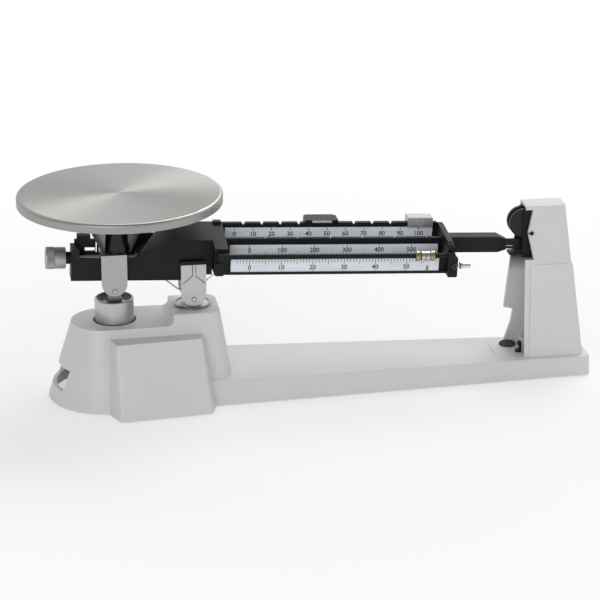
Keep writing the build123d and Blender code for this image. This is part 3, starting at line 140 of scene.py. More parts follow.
class Nodes:
    """A node tree that is put together from Python expressions."""

    def __init__(self, tree):
        self.tree = tree

    def node(self, kind, settings=None, sockets=None, output=0):
        made = self.tree.nodes.new("ShaderNode" + kind)
        for key, value in (settings or {}).items():
            setattr(made, key, value)
        for key, value in (sockets or {}).items():
            self.feed(made.inputs[key], value)
        return Field(self, made.outputs[output])

    def feed(self, socket, value):
        """Links a Field to the socket, or sets a plain value on it."""
        if isinstance(value, Field):
            self.tree.links.new(value.socket, socket)
        else:
            socket.default_value = value

    def span(self, value, low, high, start=0.0, end=1.0):
        """Maps low..high to start..end and holds the ends beyond."""
        return self.node("MapRange", {"clamp": True},
                         {"Value": value, "From Min": low, "From Max": high,
                          "To Min": start, "To Max": end})

    def ray(self, kind):
        """1 for rays of this kind, 0 for all others."""
        return self.node("LightPath", output="Is %s Ray" % kind)

    def seen(self):
        """1 where a ray shows the surface, also mirrored, 0 where it only gathers light."""
        shown = self.ray("Camera")
        for kind in ("Glossy", "Transmission"):
            shown = shown.maths("MAXIMUM", shown, self.ray(kind))
        return shown


class Finish(Nodes):
    """One procedural material on the Principled shader, read in Object coordinates."""

    def __init__(self, name, metallic=0.0, coat=0.0, coat_roughness=0.1, anisotropic=0.0,
                 specular=0.5):
        self.material = bpy.data.materials.new(name)
        self.material.use_nodes = True
        super().__init__(self.material.node_tree)
        self.shader = self.tree.nodes["Principled BSDF"]
        constants = {
            "Metallic": metallic,
            "Coat Weight": coat,
            "Coat Roughness": coat_roughness,
            "Anisotropic": anisotropic,
            "Specular IOR Level": specular,
        }
        for socket, value in constants.items():
            self.shader.inputs[socket].default_value = value

    def maths_of(self, operation, value):
        return self.node("Math", {"operation": operation}, {0: value})

    def place(self, size=(1.0, 1.0, 1.0), centre=(0.0, 0.0, 0.0), turn=(0.0, 0.0, 0.0)):
        """Object coordinates from a centre, turned, in units of size (metres)."""
        where = self.node("TexCoord", output="Object")
        return self.node("Mapping", {"vector_type": "TEXTURE"},
                         {"Vector": where, "Location": centre, "Rotation": turn, "Scale": size})

    def grain(self, size, centre=(0.0, 0.0, 0.0), turn=(0.0, 0.0, 0.0), detail=2.0, roughness=0.5):
        """Soft noise whose lumps measure about size (metres) along each axis."""
        spot = self.place(size, centre, turn)
        return self.node("TexNoise", {}, {"Vector": spot, "Scale": 1.0, "Detail": detail,
                                          "Roughness": roughness})

    def from_axis(self, centre, turn=(0.0, 0.0, 0.0)):
        """Distance in metres from the local Z axis through centre."""
        spot = self.place(centre=centre, turn=turn)
        flat = self.node("VectorMath", {"operation": "MULTIPLY"}, {0: spot, 1: (1.0, 1.0, 0.0)})
        return self.node("VectorMath", {"operation": "LENGTH"}, {0: flat}, output=1)

    def along_axis(self, centre, turn=(0.0, 0.0, 0.0)):
        """Distance in metres along the local Z axis from centre."""
        spot = self.place(centre=centre, turn=turn)
        return self.node("SeparateXYZ", {}, {0: spot}, output=2)

    def rings(self, pitch, centre, turn=(0.0, 0.0, 0.0), detail=3.0):
        """Turning marks: circles round an axis on the ends and round the sides."""
        out = self.from_axis(centre, turn) * (1.0 / pitch)
        up = self.along_axis(centre, turn) * (1.7 / pitch)
        return self.node("TexNoise", {"noise_dimensions": "1D"},
                         {"W": out + up, "Scale": 1.0, "Detail": detail})

    def mix(self, factor, first, second):
        return self.node("Mix", {"data_type": "RGBA"}, {0: factor, 6: rgba(first), 7: rgba(second)},
                         output=2)

    def edges(self, radius):
        """1 on edges and corners that turn within radius (metres), 0 on open faces."""
        soft = self.node("Bevel", {"samples": 4}, {"Radius": radius})
        hard = self.node("NewGeometry", output="Normal")
        same = self.node("VectorMath", {"operation": "DOT_PRODUCT"}, {0: soft, 1: hard}, output=1)
        return self.span(1.0 - same, 0.02, 0.25)

    def surface(self, colour, roughness, height=None, depth=0.0):
        """Feeds the shader and gives the material; height is a bump depth metres high."""
        self.feed(self.shader.inputs["Base Color"], rgba(colour))
        self.feed(self.shader.inputs["Roughness"], roughness)
        if height is not None:
            bump = self.node("Bump", {}, {"Height": height, "Strength": 1.0, "Distance": depth})
            self.feed(self.shader.inputs["Normal"], bump)
        return self.material


def shade(colour, factor):
    """The colour made darker or lighter by a factor."""
    return tuple(min(1.0, c * factor) for c in tuple(colour)[:3])


def dress(material, *nodes):
    """Gives CAD nodes this material in place of their packed one."""
    for name in nodes:
        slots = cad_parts[name].data.materials
        slots.clear()
        slots.append(material)


def column_inside_shade(f):
    """1 on the column's inner walls, which carry near-black painted shade, 0 on its painted outside.
    """
    spot = f.place(size=(MM, MM, MM))
    x, y, z = (f.node("SeparateXYZ", {}, {0: spot}, output=axis) for axis in (0, 1, 2))
    narrowing = 0.082
    depth = f.maths_of("ABSOLUTE", y) + (z - 92.6) * narrowing
    between_walls = f.span(depth, 10.5, 10.8, 1.0, 0.0)
    left_of_back = f.span(x, 192.0, 194.0, 1.0, 0.0)
    above_sill = f.span(z, 76.0, 90.0)
    below_roof = f.span(z, 132.8, 133.2, 1.0, 0.0)
    return between_walls * left_of_back * above_sill * below_roof


def casting_enamel(look, name="casting_enamel", shade_inside=False):
    """Light grey baked paint: faint orange peel, sandy undertone, and painted highlights that lighten
    its edges.
    """
    f = Finish(name, coat=0.25, coat_roughness=0.28, specular=0.45)
    sand = f.grain((0.35 * MM,) * 3, detail=3.0, roughness=0.6)
    peel = f.grain((1.6 * MM,) * 3, detail=1.0)
    cloud = f.grain((38 * MM,) * 3, detail=2.0)
    speck = f.span(f.grain((0.55 * MM,) * 3, centre=(0.1, 0.2, 0.3), detail=0.0), 0.70, 0.76)
    body = f.mix(f.span(cloud, 0.3, 0.7), shade(look.casting_colour, 0.965), look.casting_colour)
    body = f.mix(f.span(sand, 0.35, 0.65) * 0.45, body, shade(look.casting_colour, 0.88))
    body = f.mix(speck * 0.30, body, shade(look.casting_colour, 0.55))
    # Painted highlight: edges and corners are lightened where light would catch them.
    body = f.mix(f.edges(1.1 * MM) * 0.75, body, shade(look.casting_colour, 1.30))
    if shade_inside:
        # Painted shade: the column's inner walls are made near black where the hollow lies in shade.
        body = f.mix(column_inside_shade(f), body, (0.006, 0.006, 0.0065))
    rough = 0.40 + sand * 0.16 + cloud * 0.08
    return f.surface(body, rough, peel * 0.7 + sand * 0.45, 0.035 * MM)


def satin_black(look, name="satin_black", gloss=0.0):
    """Black baked enamel on metal: fine grain, dusty bloom, and painted highlights along the edges."""
    f = Finish(name, coat=0.04 + 0.5 * gloss, coat_roughness=0.24, specular=0.22)
    fine = f.grain((0.30 * MM,) * 3, detail=2.0)
    bloom = f.grain((14 * MM, 9 * MM, 9 * MM), detail=3.0)
    body = f.mix(f.span(bloom, 0.35, 0.7), look.beam_colour, shade(look.beam_colour, 1.9))
    body = f.mix(f.span(fine, 0.62, 0.75) * 0.4, body, shade(look.beam_colour, 5.0))
    # Painted highlight: edges and corners are lightened where light would catch them.
    body = f.mix(f.edges(0.45 * MM) * 0.5, body, shade(look.beam_colour, 9.0))
    return f.surface(body, 0.42 + bloom * 0.16, fine, 0.02 * MM)


def plate_metal(look):
    """Bluish white satin plate with a faint lengthwise brushing."""
    f = Finish("scale_plate_satin", coat=0.15, coat_roughness=0.25)
    brush = f.grain((14 * MM, 0.16 * MM, 0.16 * MM), turn=(0.0, BEAM_TILT, 0.0), detail=3.0)
    drift = f.grain((46 * MM, 20 * MM, 5 * MM), detail=1.0)
    body = f.mix(f.span(drift, 0.35, 0.65), shade(look.plate_colour, 0.86), look.plate_colour)
    body = f.mix(f.span(brush, 0.3, 0.7) * 0.35, body, shade(look.plate_colour, 0.88))
    return f.surface(body, 0.30 + brush * 0.14, brush, 0.006 * MM)


def brushed_metal(name, colour, size, turn=(0.0, 0.0, 0.0), rough=0.30, contrast=0.78,
                  edge_highlight=1.5):
    """Metal with straight brush lines, long in the direction where size is large."""
    f = Finish(name, metallic=1.0)
    brush = f.grain(size, turn=turn, detail=4.0, roughness=0.65)
    smear = f.grain((9 * MM,) * 3, detail=2.0)
    body = f.mix(f.span(brush, 0.3, 0.7), shade(colour, contrast), colour)
    body = f.mix(f.span(smear, 0.5, 0.8) * 0.35, body, shade(colour, 0.82))
    # Painted highlight: edges and corners are lightened by the edge factor.
    body = f.mix(f.edges(0.35 * MM) * 0.6, body, shade(colour, edge_highlight))
    return f.surface(body, rough + brush * 0.16 + smear * 0.06, brush, 0.010 * MM)


def turned_metal(name, colour, centre, turn=(0.0, 0.0, 0.0), pitch=0.25 * MM, rough=0.22,
                 contrast=0.75, anisotropic=0.0, wear=0.3, depth=0.008 * MM):
    """Metal that was turned or spun round an axis: rings of lathe marks and a few smears."""
    f = Finish(name, metallic=1.0, anisotropic=anisotropic)
    marks = f.rings(pitch, centre, turn)
    wide = f.rings(pitch * 9.0, centre, turn, detail=1.0)
    smear = f.grain((12 * MM,) * 3, centre=centre, detail=3.0)
    body = f.mix(f.span(marks, 0.3, 0.7), shade(colour, contrast), colour)
    body = f.mix(f.span(wide, 0.35, 0.7) * 0.4, body, shade(colour, 0.86))
    body = f.mix(f.span(smear, 0.55, 0.8) * wear, body, shade(colour, 0.78))
    return f.surface(body, rough + marks * 0.12 + smear * 0.08, marks, depth)


def banded_metal(name, colour, centre, turn, pitch, rough=0.16):
    """Turned metal with narrow grooves across the turning axis, darkened with painted shade."""
    f = Finish(name, metallic=1.0)
    wave = f.maths_of("SINE", f.along_axis(centre, turn) * (2 * math.pi / pitch))
    shaded_groove = f.span(wave, 0.70, 0.90)
    marks = f.rings(0.2 * MM, centre, turn)
    body = f.mix(f.span(marks, 0.3, 0.7), shade(colour, 0.8), colour)
    # Painted shade: the grooves are darkened to a tenth of the metal's colour.
    body = f.mix(shaded_groove * 0.85, body, shade(colour, 0.10))
    return f.surface(body, rough + marks * 0.10 + shaded_groove * 0.15, marks - shaded_groove, 0.03 * MM)


def moulded_black(name, colour, rough=0.24):
    """Glossy moulded plastic with a trace of flow marks."""
    f = Finish(name, coat=0.12, coat_roughness=0.08, specular=0.3)
    flow = f.grain((16 * MM, 16 * MM, 5 * MM), detail=2.0)
    fine = f.grain((0.4 * MM,) * 3, detail=1.0)
    body = f.mix(f.span(flow, 0.35, 0.7), colour, shade(colour, 2.2))
    return f.surface(body, rough + flow * 0.12, fine, 0.008 * MM)


def rubber_black(name, colour):
    """Matt rubber: powdery bloom over a fine moulded grain."""
    f = Finish(name, specular=0.25)
    fine = f.grain((0.5 * MM,) * 3, detail=4.0, roughness=0.7)
    bloom = f.grain((5 * MM,) * 3, detail=2.0)
    body = f.mix(f.span(bloom, 0.4, 0.75) * 0.7, colour, shade(colour, 2.6))
    return f.surface(body, 0.74 + fine * 0.18, fine, 0.05 * MM)


def sintered_magnet(look):
    """Charcoal sintered disc: granular face and a painted highlight along its rim."""
    f = Finish("sintered_magnet", coat=0.08, coat_roughness=0.25, specular=0.3)
    grit = f.grain((0.45 * MM,) * 3, detail=4.0, roughness=0.7)
    patch = f.grain((6 * MM,) * 3, detail=2.0)
    body = f.mix(f.span(patch, 0.35, 0.7), look.magnet_colour, shade(look.magnet_colour, 1.6))
    body = f.mix(f.span(grit, 0.6, 0.72) * 0.5, body, shade(look.magnet_colour, 3.0))
    # Painted highlight: the rim's edges are lightened where light would catch them.
    body = f.mix(f.edges(0.5 * MM) * 0.8, body, shade(look.magnet_colour, 6.0))
    return f.surface(body, 0.34 + grit * 0.25, grit, 0.03 * MM)


def printed_ink(look):
    """Matt printing ink, a little thin in places."""
    f = Finish("printed_ink", specular=0.3)
    thin = f.grain((0.5 * MM,) * 3, detail=2.0)
    body = f.mix(f.span(thin, 0.45, 0.8), look.ink_colour, shade(look.ink_colour, 2.4))
    return f.surface(body, 0.45 + thin * 0.2, thin, 0.004 * MM)


def start_clean():
    if bpy.context.object and bpy.context.object.mode != "OBJECT":
        bpy.ops.object.mode_set(mode="OBJECT")
    bpy.ops.object.select_all(action="DESELECT")


def edit(select_mode="FACE"):
    bpy.ops.object.mode_set(mode="EDIT")
    bpy.ops.mesh.select_mode(type=select_mode)


def pick(kind, test):
    """Selects the faces or edges of the edited mesh whose element passes the test."""
    mesh = bmesh.from_edit_mesh(bpy.context.object.data)
    bpy.ops.mesh.select_all(action="DESELECT")
    for item in getattr(mesh, kind):
        if test(item):
            item.select_set(True)
    if kind != "edges":
        mesh.select_flush(True)
    bmesh.update_edit_mesh(bpy.context.object.data)


def middle(item):
    """The mean of the vertices of a face, an edge or a whole edited mesh."""
    points = [v.co for v in item.verts]
    return sum(points, Vector()) / len(points)


def is_level(edge_highlight):
    return abs(edge_highlight.verts[0].co.z - edge_highlight.verts[1].co.z) < SAME_HEIGHT


def is_upright(edge_highlight):
    return (edge_highlight.verts[0].co.xy - edge_highlight.verts[1].co.xy).length < SAME_PLACE


def finish_piece(piece, name, material, body, matrix=BEAM, flat=False):
    """Puts the piece in place, writes the place into its mesh and lets it ride."""
    if bpy.context.object.mode != "OBJECT":
        bpy.ops.object.mode_set(mode="OBJECT")
    start_clean()
    piece.select_set(True)
    bpy.context.view_layer.objects.active = piece
    piece.matrix_world = matrix @ piece.matrix_world
    bpy.ops.object.transform_apply(location=True, rotation=True, scale=True)
    piece.name = name
    piece.data.name = name
    piece.data.materials.clear()
    piece.data.materials.append(material)
    if not flat:
        bpy.ops.object.shade_smooth_by_angle(angle=math.radians(32))
    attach(piece, body)
    return piece


def join(pieces):
    start_clean()
    for piece in pieces:
        piece.select_set(True)
    bpy.context.view_layer.objects.active = pieces[0]
    if len(pieces) > 1:
        bpy.ops.object.join()
    return bpy.context.object


def bar_mark(x, z, width, height, face_y, thickness=0.05, slant=0.0):
    """A thin raised stroke on a plate whose front face is at face_y (beam frame, mm)."""
    start_clean()
    centre = (x * MM, (face_y - thickness / 2) * MM, z * MM)
    bpy.ops.mesh.primitive_plane_add(size=1.0, location=centre, rotation=(RIGHT_ANGLE, slant, 0.0))
    stroke = bpy.context.object
    stroke.scale = (width * MM, height * MM, 1.0)
    bpy.ops.object.transform_apply(location=False, rotation=False, scale=True)
    thicken = stroke.modifiers.new("thickness", "SOLIDIFY")
    thicken.thickness = thickness * MM
    thicken.offset = 0.0
    bpy.ops.object.modifier_apply(modifier=thicken.name)
    return stroke


def row_of_marks(first_x, step, count, z_low, z_high, width, face_y):
    """Evenly spaced strokes: one stroke, repeated along the plate."""
    stroke = bar_mark(first_x, (z_low + z_high) / 2, width, z_high - z_low, face_y)
    if count > 1:
        bpy.ops.object.transform_apply(location=True, rotation=True, scale=True)
        repeat = stroke.modifiers.new("repeat", "ARRAY")
        repeat.use_relative_offset = False
        repeat.use_constant_offset = True
        repeat.constant_offset_displace = (step * MM, 0.0, 0.0)
        repeat.count = count
        bpy.ops.object.modifier_apply(modifier=repeat.name)
    return stroke


def stroke_between(start, end, face_y, width):
    """A thin raised stroke from one (x, z) point to another on a face at face_y (mm)."""
    dx, dz = end[0] - start[0], end[1] - start[1]
    length = math.hypot(dx, dz) + width * 0.6
    return bar_mark((start[0] + end[0]) / 2, (start[1] + end[1]) / 2, width, length, face_y,
                    slant=math.atan2(dx, dz))


def strokes_through(corners, face_y, width):
    return [stroke_between(a, b, face_y, width) for a, b in zip(corners, corners[1:])]


def pin_rim(centre, radius):
    """A thin dark rim round a pin's end, with a small centre punch."""
    start_clean()
    bpy.ops.mesh.primitive_circle_add(vertices=28, radius=radius * 1.16, fill_type="NGON",
                                      location=centre - Vector((0.0, 0.03 * MM, 0.0)),
                                      rotation=ALONG_Y)
    rim = bpy.context.object
    bpy.ops.object.transform_apply(location=True, rotation=True)
    edit()
    bpy.ops.mesh.select_all(action="SELECT")
    bpy.ops.mesh.inset(thickness=radius * 0.22)
    bpy.ops.mesh.inset(thickness=radius * 0.62)
    hub = middle(bmesh.from_edit_mesh(rim.data))
    inside, outside = radius * 0.4, radius * 1.05
    pick("faces", lambda g: inside < max((v.co - hub).length for v in g.verts) < outside)
    bpy.ops.mesh.delete(type="FACE")
    bpy.ops.mesh.select_all(action="SELECT")
    bpy.ops.mesh.extrude_region_move(TRANSFORM_OT_translate={"value": (0.0, -0.08 * MM, 0.0)})
    bpy.ops.object.mode_set(mode="OBJECT")
    return rim


def number(text, x, z, face_y, height):
    """A printed number, centred on x and z, standing a hair proud of its plate."""
    start_clean()
    spot = (x * MM, (face_y - 0.05) * MM, z * MM)
    bpy.ops.object.text_add(location=spot, rotation=ALONG_Y)
    label = bpy.context.object
    label.data.body = text
    label.data.align_x = "CENTER"
    label.data.align_y = "CENTER"
    figure_share = 0.70
    label.data.size = height / figure_share * MM
    label.data.extrude = 0.03 * MM
    label.data.offset = 0.07 * MM
    label.data.resolution_u = 3
    bpy.ops.object.convert(target="MESH")
    return bpy.context.object


class BalanceLook(PropertyGroup):
    """Sizes and colours of the balance that a user would change."""

    casting_colour: FloatVectorProperty(
        name="Casting paint", description="Colour of the painted base and column",
        subtype="COLOR", size=3, min=0.0, max=1.0, default=(0.655, 0.664, 0.662))
    beam_colour: FloatVectorProperty(
        name="Beam enamel", description="Colour of the black beam, bars and end plate",
        subtype="COLOR", size=3, min=0.0, max=1.0, default=(0.0045, 0.0045, 0.0048))
    plate_colour: FloatVectorProperty(
        name="Scale plates", description="Colour of the three scale plates",
        subtype="COLOR", size=3, min=0.0, max=1.0, default=(0.80, 0.85, 0.92))
    ink_colour: FloatVectorProperty(
        name="Scale printing", description="Colour of the numbers and strokes",
        subtype="COLOR", size=3, min=0.0, max=1.0, default=(0.018, 0.02, 0.024))
    pan_colour: FloatVectorProperty(
        name="Pan steel", description="Colour of the spun stainless pan",
        subtype="COLOR", size=3, min=0.0, max=1.0, default=(0.40, 0.388, 0.375))
    satin_colour: FloatVectorProperty(
        name="Satin metal", description="Colour of the cheeks, stirrup, sleeve and poise",
        subtype="COLOR", size=3, min=0.0, max=1.0, default=(0.60, 0.595, 0.585))
    steel_colour: FloatVectorProperty(
        name="Bright steel", description="Colour of pins, knives and bearings",
        subtype="COLOR", size=3, min=0.0, max=1.0, default=(0.62, 0.62, 0.62))
    brass_colour: FloatVectorProperty(
        name="Brass", description="Colour of the rider's spools and the poise tongue",
        subtype="COLOR", size=3, min=0.0, max=1.0, default=(0.55, 0.43, 0.28))
    magnet_colour: FloatVectorProperty(
        name="Magnets", description="Colour of the two damping magnets",
        subtype="COLOR", size=3, min=0.0, max=1.0, default=(0.006, 0.006, 0.007))
    number_height: FloatProperty(
        name="Number height", description="Height of the scale numbers in millimetres",
        min=1.0, max=5.0, default=3.5)
    stroke_width: FloatProperty(
        name="Stroke width", description="Width of the scale strokes in millimetres",
        min=0.1, max=1.0, default=0.42)
    knurl_count: IntProperty(
        name="Knurl count", description="Knurls round the zero knob's grip",
        min=24, max=160, default=84)
    knurl_depth: FloatProperty(
        name="Knurl depth", description="Height of the knurls in millimetres",
        min=0.05, max=0.5, default=0.16)
    lamp_power: FloatProperty(
        name="Key lamp", description="Power of the main lamp in watts", subtype="POWER",
        min=0.0, max=100.0, default=12.0)
    room_light: FloatProperty(
        name="Room light", description="Strength of the even light from all round",
        min=0.0, max=3.0, default=0.52)


class LookOperator:
    """What the operators share."""

    bl_options = {"REGISTER", "UNDO"}

    @property
    def look(self):
        return bpy.context.scene.balance_look


class BALANCE_OT_stage(LookOperator, Operator):
    """Make the floor, the room light, the lamps and the camera"""

    bl_idname = "balance.stage"
    bl_label = "Stage"

    def execute(self, context):
        self.make_floor()
        self.make_room()
        for name, location, size, share in LAMPS:
            self.make_lamp(name, location, size, self.look.lamp_power * share)
        start_clean()
        bpy.ops.object.camera_add(location=CAMERA_PLACE, rotation=CAMERA_TURN)
        camera = context.object
        camera.name = "camera"
        camera.data.lens = 138.0
        camera.data.sensor_width = 36.0
        camera.data.clip_start = 0.05
        camera.data.clip_end = 60.0
        context.scene.camera = camera
        context.scene.view_settings.view_transform = "Standard"
        return {"FINISHED"}

    def make_floor(self):
        """A wide pale disc that is plain white to the eye away from the balance."""
        start_clean()
        bpy.ops.mesh.primitive_circle_add(vertices=96, radius=6.0, fill_type="NGON",
                                          location=(0.0, 0.0, 0.0))
        floor = bpy.context.object
        edit()
        bpy.ops.mesh.select_all(action="SELECT")
        bpy.ops.mesh.inset(thickness=4.6)
        bpy.ops.object.mode_set(mode="OBJECT")
        floor.name = "floor"
        f = Finish("pale_floor", specular=0.15)
        mottle = f.grain((0.5, 0.5, 0.5), detail=2.0)
        body = f.mix(mottle, (0.90, 0.90, 0.90), (0.92, 0.92, 0.92))
        f.surface(body, 0.85, f.grain((2 * MM,) * 3), 0.01 * MM)
        away = f.span(f.from_axis((0.0, 0.0, 0.0)), 0.24, 0.55)
        white = f.node("Emission", {}, {"Color": WHITE, "Strength": 1.0})
        lift = 0.55 + away * 0.45
        blended = f.node("MixShader", {},
                         {0: f.seen() * lift, 1: Field(f, f.shader.outputs[0]), 2: white})
        f.feed(f.tree.nodes["Material Output"].inputs["Surface"], blended)
        floor.data.materials.append(f.material)

    def make_room(self):
        """Even white light, which mirrors see dimmer on the camera's side."""
        world = bpy.data.worlds.new("room")
        world.use_nodes = True
        bpy.context.scene.world = world
        room = Nodes(world.node_tree)
        light = room.tree.nodes["Background"]
        light.inputs["Color"].default_value = WHITE
        light.inputs["Strength"].default_value = self.look.room_light
        way = room.node("TexCoord", output="Generated")
        backward = room.node("SeparateXYZ", {}, {0: way}, output="Y")
        level = backward.maths("MAXIMUM", room.span(backward, -0.30, 0.30, 0.30, 1.0),
                               room.ray("Camera"))
        white = room.node("Background", {}, {"Color": WHITE, "Strength": level})
        blend = room.node("MixShader", {},
                          {0: room.seen(), 1: Field(room, light.outputs[0]), 2: white})
        room.feed(room.tree.nodes["World Output"].inputs["Surface"], blend)

    def make_lamp(self, name, location, size, power):
        start_clean()
        aim = (LAMP_AIM - Vector(location)).to_track_quat("-Z", "Y").to_euler()
        bpy.ops.object.light_add(type="AREA", location=location, rotation=aim)
        lamp = bpy.context.object
        lamp.name = name
        lamp.data.shape = "DISK"
        lamp.data.size = size
        lamp.data.energy = power


class BALANCE_OT_castings(LookOperator, Operator):
    """Finish the painted base and column, their screws and feet"""

    bl_idname = "balance.castings"
    bl_label = "Castings"

    def execute(self, context):
        dress(casting_enamel(self.look), "base_casting")
        dress(casting_enamel(self.look, "column_enamel", shade_inside=True), "column_casting")
        dress(rubber_black("foot_rubber", (0.03, 0.03, 0.032)), "base_feet", "deck_bumper",
              "lower_stop_pad", "upper_stop_pad")
        dress(turned_metal("screw_steel", shade(self.look.steel_colour, 0.5), COLUMN_SCREW_AXIS,
                           rough=0.3), "column_screws")
        return {"FINISHED"}


class BALANCE_OT_beam(LookOperator, Operator):
    """Finish the black beam, its bars, knives and end plate"""

    bl_idname = "balance.beam"
    bl_label = "Beam"

    def execute(self, context):
        dress(satin_black(self.look), "beam_arm", "rear_bar", "middle_bar", "front_bar", "end_plate",
              "tail_bar", "rider_rod", "zero_bush", "fulcrum_caps")
        dress(satin_black(self.look, "black_screw_metal", 0.4), "bar_screws")
        steel = brushed_metal("ground_steel", self.look.steel_colour,
                              (4 * MM, 0.2 * MM, 0.2 * MM), rough=0.16)
        dress(steel, "fulcrum_knife", "pan_knife", "knife_bail")
        dress(satin_black(self.look, "pointer_black", 0.5), "index_pointer")
        chrome = turned_metal("chrome_pin", (0.78, 0.78, 0.79), CHROME_PIN_CENTRE, ALONG_BEAM,
                              rough=0.07, contrast=0.9, depth=0.003 * MM)
        dress(chrome, "attachment_pin")
        self.make_web_outline()
        low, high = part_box("bar_screws")
        radius = (high.x - low.x) / 2
        rim = pin_rim(Vector(((low.x + high.x) / 2, low.y, low.z + radius)), radius * 0.75)
        worn = turned_metal("screw_rim_steel", shade(self.look.steel_colour, 0.22), low, ALONG_Y,
                            rough=0.3)
        finish_piece(rim, "lug_screw_rim", worn, "beam", Matrix())
        return {"FINISHED"}

    def make_web_outline(self):
        """The thin parting line on the sloping top of the beam's web."""
        strokes = strokes_through(WEB_LINE, 0.0, 0.45)
        slope = math.atan2(5.0, 30.2)
        on_web = (BEAM @ Matrix.Translation(Vector((0.0, -8.2, 28.0)) * MM)
                  @ Matrix.Rotation(slope - RIGHT_ANGLE, 4, "X"))
        line = satin_black(self.look, "web_line_black")
        finish_piece(join(strokes), "web_outline", line, "beam", on_web, flat=True)


class BALANCE_OT_scale_plates(LookOperator, Operator):
    """Finish the three scale plates and print their strokes and numbers"""

    bl_idname = "balance.scale_plates"
    bl_label = "Scale plates"

    def execute(self, context):
        dress(plate_metal(self.look), "rear_scale", "middle_scale", "front_scale")
        ink = printed_ink(self.look)
        wide = self.look.stroke_width
        tall = self.look.number_height

        y, first, step = REAR_PLATE
        marks = [row_of_marks(first, step, 11, 26.7, 29.1, wide, y)]
        marks += [number(str(10 * k), first + step * k, 24.2, y, tall) for k in range(11)]
        self.print_plate("rear_scale_printing", marks, ink)

        y, first, step = MIDDLE_PLATE
        marks = [row_of_marks(first, step, 6, 19.5, 22.0, wide, y)]
        marks.append(row_of_marks(first + step / 10, step / 10, 55, 14.6, 15.7, wide * 0.8, y))
        marks.append(row_of_marks(first + step / 2, step, 5, 15.7, 16.5, wide, y))
        marks.append(row_of_marks(first, step, 6, 14.6, 16.3, wide, y))
        marks += [number(str(100 * k), first + step * k, 17.95, y, tall * 0.98)
                  for k in range(6)]
        self.print_plate("middle_scale_printing", marks, ink)

        y, first, step = FRONT_PLATE
        marks = [row_of_marks(first - 4 * step / 10, step / 10, 62, 14.4, 17.0, wide * 0.8, y)]
        marks.append(row_of_marks(first + step / 2, step, 6, 13.2, 14.4, wide, y))
        marks.append(row_of_marks(first, step, 6, 12.6, 14.4, wide, y))
        marks.append(row_of_marks(first, step, 6, 7.6, 8.6, wide, y))
        marks += [number(str(10 * k), first + step * k, 10.6, y, tall) for k in range(6)]
        marks.append(number("g", 175.5, 10.4, y, tall))
        self.print_plate("front_scale_printing", marks, ink)
        return {"FINISHED"}

    def print_plate(self, name, marks, ink):
        finish_piece(join(marks), name, ink, "beam", flat=True)


class BALANCE_OT_poises(LookOperator, Operator):
    """Finish the sliding poises and the rider, and mark the silver poise's pointer"""

    bl_idname = "balance.poises"
    bl_label = "Poises and rider"

    def execute(self, context):
        look = self.look
        silver = brushed_metal("poise_silver", shade(look.satin_colour, 0.84),
                               (9 * MM, 0.22 * MM, 0.22 * MM), (0.0, BEAM_TILT, 0.0), rough=0.30,
                               contrast=0.82)
        dress(silver, "rear_poise")
        face_y = 13.8
        strokes = [
            bar_mark(174.6, 32.6, 0.35, 6.4, face_y, slant=math.radians(-16)),
            bar_mark(177.3, 32.6, 0.35, 6.8, face_y, slant=math.radians(22)),
        ]
        bright = brushed_metal("scribed_line", (0.92, 0.92, 0.92), (1 * MM,) * 3, rough=0.2)
        finish_piece(join(strokes), "rear_poise_pointer", bright, "rear_poise", flat=True)
        dress(satin_black(look, "poise_black", 0.2), "heavy_poise")
        dress(banded_metal("rider_brass", look.brass_colour, RIDER_CENTRE, ALONG_BEAM, 2.1 * MM),
              "rider_spool")
        dress(brushed_metal("tongue_metal", shade(look.steel_colour, 1.3),
                            (3 * MM, 0.3 * MM, 0.3 * MM)), "poise_tongue")
        dress(banded_metal("rider_steel", look.steel_colour, RIDER_CENTRE, ALONG_BEAM, 3.4 * MM, 0.14),
              "rider_collar")
        return {"FINISHED"}


